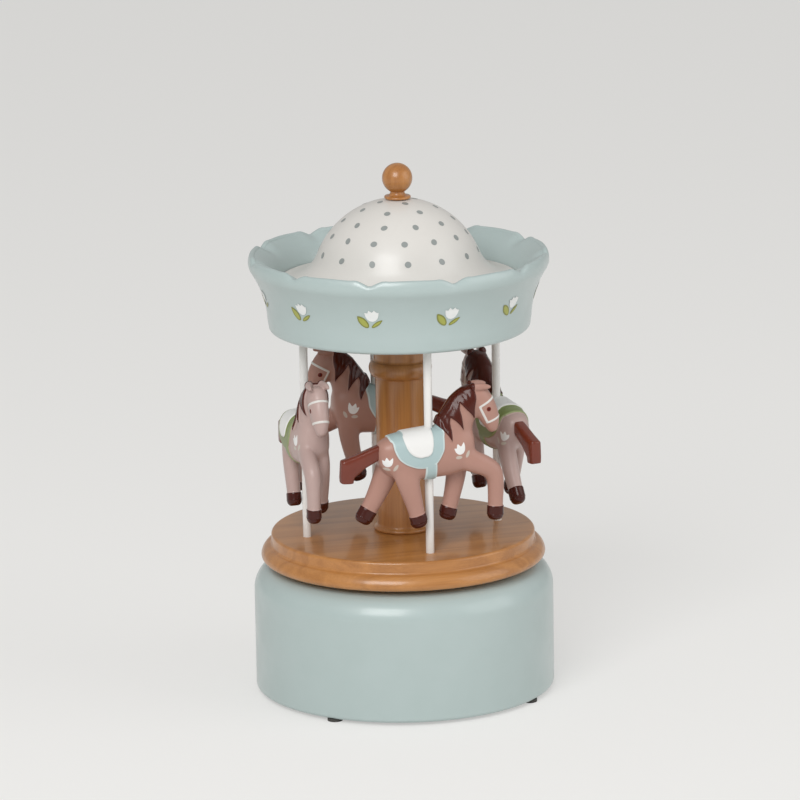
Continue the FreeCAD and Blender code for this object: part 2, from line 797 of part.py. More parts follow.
def ear(side):
    """Ear laid along the poll, with its tip forward."""
    item = doc.addObject("Part::Cone", "ear")
    bind(item, Radius1=scaled(1.6), Radius2=scaled(0.35), Height=scaled(6.7))
    turn = Rotation(Vector(side * 0.12, 1, 0), 91)
    return place(item, scaled(16.8), scaled(side * 2.2), scaled(63.6), turn)


def relief(name, corners, carrier):
    """Raised panel: the part of a swollen form that lies inside a side outline."""
    blank = new_body(name)
    drawn = []
    for forward, up, *bend in corners:
        bow = [scaled(bend[0]), bend[1]] if bend else []
        drawn.append((scaled(forward), scaled(up), *bow))
    pad(blank, outline(sketch_on(blank, "XZ_Plane"), drawn), scaled(40), middle=True)
    return combine("Part::Common", f"{name}_relief", blank, carrier)


# Side outlines of the raised panels, as (forward, up) or with the radius and turn of an arc to there.
MANE = [
    (3.2, 51.0), (3.7, 57.6), (8.6, 63.1), (13.5, 67.4), (18.0, 68.5), (17.7, 59.6), (16.8, 51.8),
    (11.8, 58.0), (12.3, 47.8), (7.8, 52.9), (7.5, 44.1),
]
BLANKET = [
    (-16.0, 54), (-15.9, 45.2), (-14.0, 40.0), (-6.1, 35.0, 9.8, 1), (-3.0, 34.8), (-2.6, 22), (2.1, 22),
    (1.2, 36.4), (4.1, 43.5, 7.6, 1), (4.2, 54),
]
SADDLE = [
    (-11.4, 54), (-11.3, 46.2), (-10.0, 42.6), (-5.3, 39.2, 5.4, 1), (-2.8, 39.4), (0.0, 44.0, 4.4, 1),
    (0.3, 54),
]
# Tail ovals, as (forward, sideways, up, heading, half fore, half side).
TAIL = [
    (-18.0, 0, 41.3, 200, 2.5, 2.35),
    (-21.5, 0, 40.0, 204, 2.8, 2.45),
    (-27.0, 0, 37.1, 208, 3.35, 2.55),
    (-30.7, 0, 34.7, 232, 3.95, 2.55),
    (-32.2, 0, 31.0, 261, 2.75, 2.45),
    (-32.5, 0, 28.6, 265, 2.45, 2.25),
]


def horse():
    """One horse with carved mane, saddle and blanket, bored for its pole, and its separate tail."""
    forms = [trunk(), neck(), head(), ear(-1), ear(1)]
    for side, joints, sole in LEGS.values():
        forms += leg(side, joints, sole)
    forms.append(relief("mane", MANE, neck("relief + 0.2")))
    forms.append(relief("blanket", BLANKET, trunk("relief")))
    forms.append(relief("saddle", SADDLE, trunk("relief + 0.5")))
    bore = place(cylinder("pole_bore", "pole_radius + fit_gap", scaled(80)), up=scaled(-5))
    carved = combine("Part::Cut", "horse", chain("horse_form", forms), bore)
    tail = combine("Part::Cut", "tail", limb("tail_form", [section(*oval) for oval in TAIL]), carved)
    return carved, tail


def horses():
    """Four horses and tails, each a linked copy on its own pole; the right one stands a little askew."""
    carved, tail = horse()
    for side, angle in SIDES.items():
        heading = f"{angle} + right_turn" if side == "right" else f"{angle}"
        turn = Rotation(Vector(0, 0, 1), number(heading))
        for name, form in (("horse", carved), ("tail", tail)):
            copy = doc.addObject("App::Link", f"{name}_{side}")
            copy.LinkedObject = form
            place(copy, *on_circle("pole_circle", angle), "platform_top", turn)
            bind(copy, Placement__Rotation__Angle=heading)
            keep(copy, f"{name}_{side}")


BEDPLATE_SCREWS = [("0 - 11", "0 - 13"), ("0 - 11", "20"), ("22", "0 - 14"), ("36", "20")]
COMB_SCREWS = [("18.6", "21.4"), ("28.2", "21.4")]


def bedplate():
    """Cast plate under the deck with bearing lugs for the train and a block for the comb."""
    body = new_body("bedplate")
    level = "bedplate_bottom"
    plate = [
        ("32", "0 - 18"), ("41", "0 - 9", "9", 1), ("41", "17"), ("32", "26", "9", 1),
        ("0 - 7", "26"), ("0 - 16", "17", "9", 1), ("0 - 16", "0 - 9"), ("0 - 7", "0 - 18", "9", 1),
    ]
    pad(body, outline(sketch_on(body, "XY_Plane", level), plate), "deck_bottom - bedplate_bottom")
    lugs = {"30.2": [("13.2", "14.8", "0 - 3", "3"), ("36.4", "38.2", "0 - 11.4", "3"),
                     ("29.8", "31.2", "0 - wheel_offset - 1.7", "0 - wheel_offset + 1.7")],
            "comb_top": [("14.6", "32.2", "17", "25.4")]}
    for bottom, blocks in lugs.items():
        for left, right, near, far in blocks:
            block = [(left, near), (right, near), (right, far), (left, far)]
            height = f"bedplate_bottom + 0.5 - {bottom}"
            pad(body, outline(sketch_on(body, "XY_Plane", bottom), block), height)
    bearings = [("0", "cylinder_level", "cylinder_arbor + running_gap"),
                ("0 - wheel_offset", "cylinder_level", "0.7 + running_gap")]
    pocket(body, discs(sketch_on(body, "YZ_Plane", "12"), bearings), "30")
    uprights = [("0", "0", "3"), ("worm_place", "0 - worm_offset", "0.6 + running_gap")]
    uprights += [(across, along, "1.05") for across, along in BEDPLATE_SCREWS]
    pocket(body, discs(sketch_on(body, "XY_Plane", level), uprights), "deck_bottom - bedplate_bottom")
    taps = [(across, along, "1.05") for across, along in COMB_SCREWS]
    pocket(body, discs(sketch_on(body, "XY_Plane", "comb_top"), taps), "5")
    keep(body, "bedplate")
    screws("bedplate_screws", BEDPLATE_SCREWS, f"{level} - 1.3", "1.3", "2", "0.95", "6", sunk=False)


def comb():
    """Steel comb: a plate with a slanted front edge and a row of teeth that reach to the pins."""
    body = new_body("comb")
    thickness = "comb_top - comb_bottom"
    pitch = "cylinder_length / comb_teeth"
    plate = [("14.8", "16.6"), ("32", "13.6"), ("32", "25.2"), ("14.8", "25.2")]
    pad(body, outline(sketch_on(body, "XY_Plane", "comb_bottom"), plate), thickness)
    first, last = f"cylinder_start + 0.14 * {pitch}", f"cylinder_start + 0.86 * {pitch}"
    bar = [(first, "comb_tip"), (last, "comb_tip"), (last, "17.5"), (first, "17.5")]
    tooth = pad(body, outline(sketch_on(body, "XY_Plane", "comb_bottom"), bar), thickness)
    row = body.newObject("PartDesign::LinearPattern", "row")
    row.Originals = [tooth]
    row.Direction = (next(f for f in body.Origin.OriginFeatures if f.Role == "X_Axis"), [""])
    bind(row, Length="cylinder_length * (comb_teeth - 1) / comb_teeth", Occurrences="comb_teeth")
    body.Tip = row
    taps = [(across, along, "1.1") for across, along in COMB_SCREWS]
    pocket(body, discs(sketch_on(body, "XY_Plane", "comb_bottom"), taps), thickness)
    keep(body, "comb")
    screws("comb_screws", COMB_SCREWS, "comb_bottom - 1.3", "1.3", "2", "1", "4", sunk=False)


def pinned_cylinder():
    """Arbor with its pinion, drum with rows of pins, and the wheel that drives the governor."""
    arbor = new_body("cylinder_pinion")
    cut_gear(arbor, PINION_TEETH, "crown_module", "10.4", "1.6")
    pad(arbor, discs(sketch_on(arbor, "XY_Plane", "10.4"), [("0", "0", "cylinder_arbor")]), "27.8")
    mesh_turn = Rotation(Vector(1, 0, 0), 180 / PINION_TEETH)
    keep(place(arbor, up="cylinder_level", turn=mesh_turn * ALONG_X), "cylinder_pinion")
    end = "cylinder_start + cylinder_length"
    drum = revolve(new_body("drum"), [
        ("cylinder_arbor + 0.02", "cylinder_start"),
        ("cylinder_radius", "cylinder_start"),
        ("cylinder_radius", end),
        ("cylinder_arbor + 0.02", end),
        ("cylinder_arbor + 0.02", f"{end} - 1"),
        ("cylinder_radius - 0.7", f"{end} - 1"),
        ("cylinder_radius - 0.7", "cylinder_start + 1"),
        ("cylinder_arbor + 0.02", "cylinder_start + 1"),
    ])
    place(drum, up="cylinder_level", turn=ALONG_X)
    pins = []
    golden_angle = 137.5
    for track in range(SIZES["comb_teeth"]):
        for beat in (0, 158):
            angle = track * golden_angle + beat
            turn = Rotation(Vector(1, 0, 0), angle)
            out = turn.multVec(Vector(0, 0, 1))
            across = f"cylinder_start + ({track} + 0.5) * cylinder_length / comb_teeth"
            along = f"{out.y:.5f} * (cylinder_radius - 0.3)"
            up = f"cylinder_level + {out.z:.5f} * (cylinder_radius - 0.3)"
            pin = cylinder("pin", "pin_radius", "pin_reach - cylinder_radius + 0.3")
            pins.append(place(pin, across, along, up, turn))
    keep(union("pin_cylinder", [drum] + pins), "pin_cylinder")
    wheel = new_body("cylinder_wheel")
    cut_gear(wheel, WHEEL_TEETH, "train_module", "32", "1.2")
    pocket(wheel, discs(sketch_on(wheel, "XY_Plane", "32"), [("0", "0", "cylinder_arbor + 0.02")]), "1.2")
    keep(place(wheel, up="cylinder_level", turn=ALONG_X), "cylinder_wheel")


def governor():
    """Governor: pinion with worm wheel, upright worm, two-bladed fan and the bracket below it."""
    wheel = new_body("governor_wheel")
    cut_gear(wheel, GOVERNOR_PINION_TEETH, "train_module", "31.7", "1.8")
    cut_gear(wheel, WORM_WHEEL_TEETH, "train_module", "worm_place - 0.4", "0.8", addendum=0.85)
    pad(wheel, discs(sketch_on(wheel, "XY_Plane", "29.9"), [("0", "0", "0.7")]), "8.2")
    pad(wheel, discs(sketch_on(wheel, "XY_Plane", "33.4"), [("0", "0", "1.4")]), "1.2")
    keep(place(wheel, along="0 - wheel_offset", up="cylinder_level", turn=ALONG_X), "governor_wheel")
    low, high = "cylinder_level - 3.6", "cylinder_level + 3.6"
    worm = revolve(new_body("governor_worm"), [
        ("0", "18.2"),
        ("0.6", "18.2"),
        ("0.6", low),
        ("worm_root", low),
        ("worm_root", high),
        ("0.6", high),
        ("0.6", "deck_bottom - 0.4"),
        ("0", "deck_bottom - 0.4"),
    ])
    lead = f"{math.pi} * train_module"
    start = f"cylinder_level - 2.75 * {lead}"
    thread = sketch_on(worm, "XZ_Plane")
    outline(thread, [
        ("worm_root - 0.1", f"{start} - 0.3"), ("worm_tip", f"{start} - 0.12"),
        ("worm_tip", f"{start} + 0.12"), ("worm_root - 0.1", f"{start} + 0.3"),
    ])
    helix = worm.newObject("PartDesign::AdditiveHelix", "thread")
    helix.Profile = thread
    helix.ReferenceAxis = (thread, ["V_Axis"])
    helix.Mode = "pitch-turns-angle"
    bind(helix, Pitch=lead, Turns="4")
    keep(place(worm, "worm_place", "0 - worm_offset"), "governor_worm")
    fan = new_body("governor_fan")
    pad(fan, discs(sketch_on(fan, "XY_Plane", "20.4"), [("0", "0", "1.3")]), "5.6")
    blade = [("0.4", "20.6"), ("fan_radius", "20.6"), ("fan_radius", "25.8"), ("0.4", "25.8")]
    sail = pad(fan, outline(sketch_on(fan, "XZ_Plane"), blade), "0.5", middle=True)
    repeat_round(fan, sail, 2)
    pocket(fan, discs(sketch_on(fan, "XY_Plane", "20.4"), [("0", "0", "0.62")]), "5.6")
    keep(place(fan, "worm_place", "0 - worm_offset"), "governor_fan")
    bracket = new_body("governor_bracket")
    strip = [
        ("32.8", "18"), ("40.4", "18"), ("40.4", "bedplate_bottom"), ("36.8", "bedplate_bottom"),
        ("36.8", "bedplate_bottom - 1.2"), ("39.2", "bedplate_bottom - 1.2"), ("39.2", "19.2"),
        ("32.8", "19.2"),
    ]
    pad(bracket, outline(sketch_on(bracket, "XZ_Plane", "worm_offset - 2.3"), strip), "4.6")
    foot = [("worm_place", "0 - worm_offset", "0.6 + running_gap")]
    pocket(bracket, discs(sketch_on(bracket, "XY_Plane", "18"), foot), "1.2")
    keep(bracket, "governor_bracket")


def check_model():
    """Stops if any object failed, any cut missed, or any sub-part is empty or not valid."""
    for item in doc.Objects:
        if {"Invalid", "Error"} & set(item.State):
            raise RuntimeError(f"{item.Name} of {item.Label} failed: {item.State}")
    for cut in cuts:
        if cut.Shape.Volume > cut.BaseFeature.Shape.Volume - 1e-3:
            raise RuntimeError(f"{cut.Name} cuts nothing away")
    for item in pieces:
        shape = Part.getShape(item)
        if shape.isNull() or not shape.isValid() or not shape.Solids:
            raise RuntimeError(f"{item.Label} has no valid solid")


def write_parts():
    """Writes each sub-part to its own file."""
    os.makedirs("parts", exist_ok=True)
    for item in pieces:
        shape = Part.getShape(item)
        shape.exportStep(f"parts/{item.Label}.step")
        print(f"{item.Label}: {len(shape.Solids)} solid(s), {shape.Volume:.1f} mm3")


fill_sheet()
base_shell()
underside()
turntable_bearing()
spring_drive()
mainspring()
winding()
platform()
column()
canopy()
dome()
finial()
poles()
horses()
bedplate()
comb()
pinned_cylinder()
governor()
doc.recompute()
check_model()
write_parts()
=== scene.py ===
"""Carousel music box: the pieces that the eye sees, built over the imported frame.

Sizes are in millimetres, in the frame of the solids: the origin lies on the table under the middle
of the base, +Z is up, and the front horse stands at -Y and faces +X. Angles round the turning axis
are counted from -Y towards +X.
"""

from __future__ import annotations

import logging
import math
from dataclasses import dataclass, replace
from enum import Enum
from typing import Sequence

import bmesh
import bpy
import numpy as np
from mathutils import Euler, Matrix, Vector
from mathutils.bvhtree import BVHTree

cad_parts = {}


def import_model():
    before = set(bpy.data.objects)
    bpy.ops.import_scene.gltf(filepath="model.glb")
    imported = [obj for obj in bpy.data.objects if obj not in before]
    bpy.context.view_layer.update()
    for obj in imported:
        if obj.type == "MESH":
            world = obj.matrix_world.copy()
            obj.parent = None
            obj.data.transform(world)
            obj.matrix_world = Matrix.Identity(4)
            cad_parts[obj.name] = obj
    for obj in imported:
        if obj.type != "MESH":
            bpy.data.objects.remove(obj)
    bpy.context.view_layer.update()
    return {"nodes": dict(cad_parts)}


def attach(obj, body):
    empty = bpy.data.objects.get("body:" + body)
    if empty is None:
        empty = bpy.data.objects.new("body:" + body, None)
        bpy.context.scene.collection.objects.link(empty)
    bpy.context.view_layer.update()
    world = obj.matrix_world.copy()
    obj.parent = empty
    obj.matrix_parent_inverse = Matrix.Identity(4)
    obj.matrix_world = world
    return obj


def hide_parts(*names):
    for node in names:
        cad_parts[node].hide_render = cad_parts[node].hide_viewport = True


LOG = logging.getLogger("carousel")
MM = 0.001
HARD_EDGE = 38.0
Point = tuple[float, float]
Colour = tuple[float, float, float, float]
Socket = bpy.types.NodeSocket


class Body(Enum):
    """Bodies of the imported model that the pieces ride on."""

    BASE = "base"
    CAROUSEL = "carousel"


class Side(Enum):
    """Places of the four poles, as angles in degrees."""

    FRONT = 0
    RIGHT = 90
    BACK = 180
    LEFT = 270

    @property
    def word(self) -> str:
        """Name of the side as the nodes spell it."""
        return self.name.lower()


class Grain(Enum):
    """Direction that a piece of wood was cut along, as the stretch of its pattern."""

    ACROSS = (0.09, 1.0, 1.0)
    UPRIGHT = (1.0, 1.0, 0.07)


def linear(code: str) -> Colour:
    """Turns an sRGB hex colour to linear.

    Args:
        code: Colour such as "#AEBFBA".

    Returns:
        Linear red, green, blue and an alpha of one.
    """
    parts = [int(code[i:i + 2], 16) / 255 for i in (1, 3, 5)]
    red, green, blue = (p / 12.92 if p <= 0.04045 else ((p + 0.055) / 1.055) ** 2.4 for p in parts)
    return red, green, blue, 1.0


def feed(tree: bpy.types.NodeTree, node: bpy.types.Node, inputs: dict) -> None:
    """Gives a node's sockets their values and links.

    Args:
        tree: Node tree of a material or the world.
        node: Node whose sockets are fed.
        inputs: Socket name or number to a value, or to the output socket that feeds it.
    """
    for socket, value in inputs.items():
        if isinstance(value, bpy.types.NodeSocket):
            tree.links.new(value, node.inputs[socket])
        else:
            node.inputs[socket].default_value = value


def add_node(tree: bpy.types.NodeTree, kind: str, inputs: dict | None = None, **settings) -> bpy.types.Node:
    """Adds a node with its settings, values and links.

    Args:
        tree: Node tree of a material or the world.
        kind: Blender's name of the node type.
        inputs: What feeds its sockets.
        settings: Properties of the node itself.

    Returns:
        The new node.
    """
    node = tree.nodes.new(kind)
    for name, setting in settings.items():
        setattr(node, name, setting)
    feed(tree, node, inputs or {})
    return node


class FinishNodes:
    """Node tree of a finish in the making, on the object's own coordinates."""

    def __init__(self, name: str) -> None:
        """Starts a material.

        Args:
            name: Name of the material.
        """
        self.material = bpy.data.materials.new(name)
        self.material.use_nodes = True
        self.tree = self.material.node_tree
        self.shader = self.tree.nodes["Principled BSDF"]

    def place(self) -> Socket:
        """Gives the coordinates on the object."""
        return add_node(self.tree, "ShaderNodeTexCoord").outputs["Object"]

    def noise(self, place: Socket, size_mm: float, detail: float, roughness: float = 0.5,
              distortion: float = 0.0) -> Socket:
        """Makes a noise.

        Args:
            place: Coordinates that it lies on.
            size_mm: About the size of its spots.
            detail: Number of finer noises in it.
            roughness: How much the finer ones count.
            distortion: How far it is stirred.

        Returns:
            Its value, from 0 to 1.
        """
        return add_node(self.tree, "ShaderNodeTexNoise", {
            "Vector": place, "Scale": 1 / (size_mm * MM), "Detail": detail, "Roughness": roughness,
            "Distortion": distortion}).outputs["Fac"]

    def ranged(self, value: Socket, source: Point, target: Point = (0.0, 1.0)) -> Socket:
        """Stretches a value from one range to another and holds it there.

        Args:
            value: Value that is stretched.
            source: Range that it comes from.
            target: Range that it goes to.

        Returns:
            The new value.
        """
        return add_node(self.tree, "ShaderNodeMapRange", {
            "Value": value, "From Min": source[0], "From Max": source[1], "To Min": target[0],
            "To Max": target[1]}).outputs[0]

    def mixed(self, share: Socket, first: Socket | Colour, second: Socket | Colour) -> Socket:
        """Blends two colours, which go into sockets 6 and 7 of the node."""
        return add_node(self.tree, "ShaderNodeMix", {0: share, 6: first, 7: second},
                        data_type="RGBA").outputs[2]

    def sum(self, operation: str, *values: Socket | float, clamp: bool = False) -> Socket:
        """Does a sum with one or two values."""
        return add_node(self.tree, "ShaderNodeMath", dict(enumerate(values)), operation=operation,
                        use_clamp=clamp).outputs[0]

    def relief(self, height: Socket, strength: float, depth_mm: float = 0.02) -> Socket:
        """Gives the normal of a fine relief."""
        return add_node(self.tree, "ShaderNodeBump", {
            "Height": height, "Strength": strength, "Distance": depth_mm * MM}).outputs[0]

    def done(self, sockets: dict) -> bpy.types.Material:
        """Feeds the surface shader and gives the material."""
        feed(self.tree, self.shader, sockets)
        return self.material


@dataclass(frozen=True)
class Enamel:
    """Brushed enamel on turned wood: an even satin coat with a faint unevenness of tint and skin."""

    name: str
    colour: str
    shade: str
    roughness: float = 0.34
    coat: float = 0.35
    coat_roughness: float = 0.16
    mottle_mm: float = 14.0
    skin_mm: float = 1.1
    skin: float = 0.25
    shinier: float = 0.05
    duller: float = 0.06

    def material(self) -> bpy.types.Material:
        """Builds the paint's nodes.

        Returns:
            The material.
        """
        nodes = FinishNodes(self.name)
        place = nodes.place()
        mottle = nodes.noise(place, self.mottle_mm, detail=3.0, roughness=0.55)
        skin = nodes.noise(place, self.skin_mm, detail=2.0)
        gloss = self.roughness - self.shinier, self.roughness + self.duller
        return nodes.done({
            "Base Color": nodes.mixed(mottle, linear(self.colour), linear(self.shade)),
            "Roughness": nodes.ranged(mottle, (0.3, 0.7), gloss), "Normal": nodes.relief(skin, self.skin),
            "Coat Weight": self.coat, "Coat Roughness": self.coat_roughness})


@dataclass(frozen=True)
class LacqueredWood:
    """Honey-coloured beech under clear lacquer: soft growth bands, fine pores and a wet gloss."""

    name: str
    light: str
    dark: str
    grain: Grain
    start: tuple[float, float, float] = (0.013, 0.021, 0.007)
    band_mm: float = 13.0
    bands: float = 5.0
    band_depth: Point = (0.2, 0.62)
    pore_mm: float = 0.55
    pore_stretch: float = 0.35
    pore_depth: Point = (-0.16, 0.26)
    pore_relief: float = 0.2
    roughness: float = 0.36
    coat: float = 0.4
    coat_roughness: float = 0.1

    def material(self) -> bpy.types.Material:
        """Builds the wood's nodes.

        Returns:
            The material.
        """
        nodes = FinishNodes(self.name)
        cut = add_node(nodes.tree, "ShaderNodeMapping", {
            "Vector": nodes.place(), "Location": self.start, "Scale": self.grain.value}).outputs[0]
        figure = nodes.noise(cut, self.band_mm, detail=2.0, roughness=0.45, distortion=0.4)
        wave = nodes.sum("SINE", nodes.sum("MULTIPLY", figure, self.bands * 2 * math.pi))
        stretch = tuple(self.pore_stretch if s < 1 else 1.0 for s in self.grain.value)
        fine = add_node(nodes.tree, "ShaderNodeMapping", {"Vector": cut, "Scale": stretch}).outputs[0]
        pores = nodes.noise(fine, self.pore_mm, detail=3.0, roughness=0.6)
        depth = nodes.sum("ADD", nodes.ranged(wave, (-1.0, 1.0), self.band_depth),
                          nodes.ranged(pores, (0.35, 0.75), self.pore_depth), clamp=True)
        return nodes.done({
            "Base Color": nodes.mixed(depth, linear(self.light), linear(self.dark)),
            "Normal": nodes.relief(pores, self.pore_relief), "Roughness": self.roughness,
            "Coat Weight": self.coat, "Coat Roughness": self.coat_roughness})


@dataclass(frozen=True)
class Metal:
    """Machined metal: bright, with fine turning marks that break up the gloss."""

    name: str
    colour: str
    roughness: float
    mark_mm: float = 0.4
    shinier: float = 0.75
    duller: float = 1.35

    def material(self) -> bpy.types.Material:
        """Builds the metal's nodes.

        Returns:
            The material.
        """
        nodes = FinishNodes(self.name)
        marks = nodes.noise(nodes.place(), self.mark_mm, detail=3.0)
        gloss = self.roughness * self.shinier, self.roughness * self.duller
        return nodes.done({"Base Color": linear(self.colour), "Metallic": 1.0,
                           "Roughness": nodes.ranged(marks, (0.25, 0.75), gloss)})


@dataclass(frozen=True)
class Fibre:
    """Pressed fibre, felt or board: dull and flecked, with a soft nap or a hard pressed face."""

    name: str
    colour: str
    fleck: str
    fibre_mm: float
    depth_mm: float
    roughness: float = 0.85
    nap: float = 0.5

    def material(self) -> bpy.types.Material:
        """Builds the fibre's nodes.

        Returns:
            The material.
        """
        nodes = FinishNodes(self.name)
        nap = nodes.noise(nodes.place(), self.fibre_mm, detail=4.0, roughness=0.7)
        flecks = nodes.ranged(nap, (0.4, 0.68))
        return nodes.done({
            "Base Color": nodes.mixed(flecks, linear(self.colour), linear(self.fleck)),
            "Normal": nodes.relief(nap, self.nap, self.depth_mm), "Roughness": self.roughness})


class Coat(Enum):
    """Layers of paint on a horse in painting order, each a distance attribute of its mesh."""

    BLANKET = "blanket"
    # painted highlight: a paler band just inside the blanket's raised edge, on the shoulder of its relief
    EDGE_HIGHLIGHT = "edge_highlight"
    SADDLE = "saddle"
    MANE = "mane"
    HOOF = "hoof"
    STRAP = "strap"
    PETAL = "petal"
    LEAF = "leaf"
    EYE = "eye"
    PUPIL = "pupil"


@dataclass(frozen=True)
class HorsePaint:
    """Hand-painted enamel on a moulded horse: a satin coat with trim whose edges follow the relief, and a
    painted highlight along the blanket's raised edge.
    """

    name: str
    coat: str
    coat_shade: str
    blanket: str
    # colour of the painted highlight along the blanket's raised edge, a paler tint of the blanket
    edge_highlight: str
    leaf: str
    mane: str = "#48170B"
    hoof: str = "#40140B"
    white: str = "#E6E5E3"
    strap: str = "#D8D5D0"
    eye: str = "#6A1D12"
    pupil: str = "#3A0F0A"
    edge_mm: float = 0.06
    mottle_mm: float = 9.0
    skin_mm: float = 0.9
    skin: float = 0.2
    satin: float = 0.34
    gloss: float = 0.22
    specular: float = 0.3
    varnish: float = 0.06
    varnish_roughness: float = 0.1

    def layers(self) -> dict[Coat, str]:
        """Colour of each layer of paint, in painting order."""
        # the blanket's edge carries a painted highlight, laid over the blanket
        return {Coat.BLANKET: self.blanket, Coat.EDGE_HIGHLIGHT: self.edge_highlight, Coat.SADDLE: self.white,
                Coat.MANE: self.mane, Coat.HOOF: self.hoof, Coat.STRAP: self.strap, Coat.PETAL: self.white,
                Coat.LEAF: self.leaf, Coat.EYE: self.eye, Coat.PUPIL: self.pupil}

    def material(self) -> bpy.types.Material:
        """Builds the paint's nodes.

        Returns:
            The material.
        """
        nodes = FinishNodes(self.name)
        place = nodes.place()
        mottle = nodes.noise(place, self.mottle_mm, detail=3.0)
        colour = nodes.mixed(mottle, linear(self.coat), linear(self.coat_shade))
        glossy = None
        for coat, code in self.layers().items():
            distance = add_node(nodes.tree, "ShaderNodeAttribute", attribute_name=coat.value).outputs["Fac"]
            cover = nodes.ranged(distance, (-self.edge_mm, self.edge_mm))
            colour = nodes.mixed(cover, colour, linear(code))
            if coat in (Coat.MANE, Coat.HOOF, Coat.EYE):
                glossy = cover if glossy is None else nodes.sum("MAXIMUM", glossy, cover)
        skin = nodes.noise(place, self.skin_mm, detail=2.0)
        return nodes.done({
            "Base Color": colour, "Roughness": nodes.ranged(glossy, (0.0, 1.0), (self.satin, self.gloss)),
            "Normal": nodes.relief(skin, self.skin), "Specular IOR Level": self.specular,
            "Coat Weight": self.varnish, "Coat Roughness": self.varnish_roughness})


SAGE = Enamel("sage_enamel", "#B0BEBD", "#A9B8B6")
IVORY = Enamel("ivory_enamel", "#DCD9D4", "#D5D1CC", roughness=0.42, coat=0.2)
SLATE = Enamel("slate_enamel", "#959A98", "#8A8F8D", roughness=0.4)
WHITE = Enamel("white_enamel", "#E6E4E1", "#E0DEDA", roughness=0.24, coat=0.6)
PETAL = Enamel("petal_enamel", "#E9EAE8", "#DFE2E1", roughness=0.36, mottle_mm=2.0)
LEAF = Enamel("leaf_edge_enamel", "#84873A", "#777A33", roughness=0.36, mottle_mm=1.6)
VEIN = Enamel("leaf_middle_enamel", "#A6A94B", "#999D45", roughness=0.36, mottle_mm=1.6)
CHESTNUT = Enamel("chestnut_enamel", "#722F1D", "#652717", roughness=0.22, coat=0.15, mottle_mm=6.0)
TURNED_WOOD = LacqueredWood("lacquered_beech_upright", "#B87E44", "#965E2C", Grain.UPRIGHT)
BOARD_WOOD = LacqueredWood("lacquered_beech_board", "#BB8146", "#99622E", Grain.ACROSS)
BRASS = Metal("machined_brass", "#C9A55C", 0.28)
STEEL = Metal("bright_steel", "#B9BABB", 0.3)
CAST = Metal("cast_zinc", "#8A8B8D", 0.5, mark_mm=0.8)
FELT = Fibre("pressed_felt", "#3B3A37", "#4B4A46", 0.5, 0.12)
HARDBOARD = Fibre("pressed_hardboard", "#8A6B4B", "#75583C", 0.7, 0.03)
NYLON = Enamel("moulded_nylon", "#DAD7CC", "#D2CFC3", roughness=0.45, coat=0.0)
# the fifth colour of each horse paint is the painted highlight along the blanket's raised edge
ROSE_HORSE = HorsePaint("rose_horse_enamel", "#B0877A", "#A77E71", "#A9BCBD", "#CAD8D7", "#BFB3A8")
TAUPE_HORSE = HorsePaint("taupe_horse_enamel", "#BAA29C", "#B09690", "#7A8650", "#929C6E", "#BFB8AC")


def settled(bm: bmesh.types.BMesh, name: str) -> bpy.types.Mesh:
    """Turns a bmesh into a mesh.

    Args:
        bm: Shape that is turned over. It is freed.
        name: Name of the mesh.

    Returns:
        The mesh.
    """
    mesh = bpy.data.meshes.new(name)
    bm.to_mesh(mesh)
    bm.free()
    return mesh


def publish(shape: bmesh.types.BMesh | bpy.types.Mesh, name: str, finish: bpy.types.Material,
            nodes: Sequence[str] = (), body: Body = Body.CAROUSEL) -> None:
    """Makes a finished piece.

    Args:
        shape: Shape in metres, in the frame of the solids. A bmesh is smoothed and freed.
        name: Name of the piece.
        finish: Its material.
        nodes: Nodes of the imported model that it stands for.
        body: Body that it rides on.
    """
    if isinstance(shape, bmesh.types.BMesh):
        for face in shape.faces:
            face.smooth = True
        for edge in shape.edges:
            edge.smooth = edge.calc_face_angle(0.0) < math.radians(HARD_EDGE)
        shape = settled(shape, name)
    shape.materials.clear()
    shape.materials.append(finish)
    piece = bpy.data.objects.new(name, shape)
    bpy.context.scene.collection.objects.link(piece)
    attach(piece, body.value)
    if nodes:
        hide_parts(*nodes)
    LOG.info("%s: %d faces", name, len(shape.polygons))


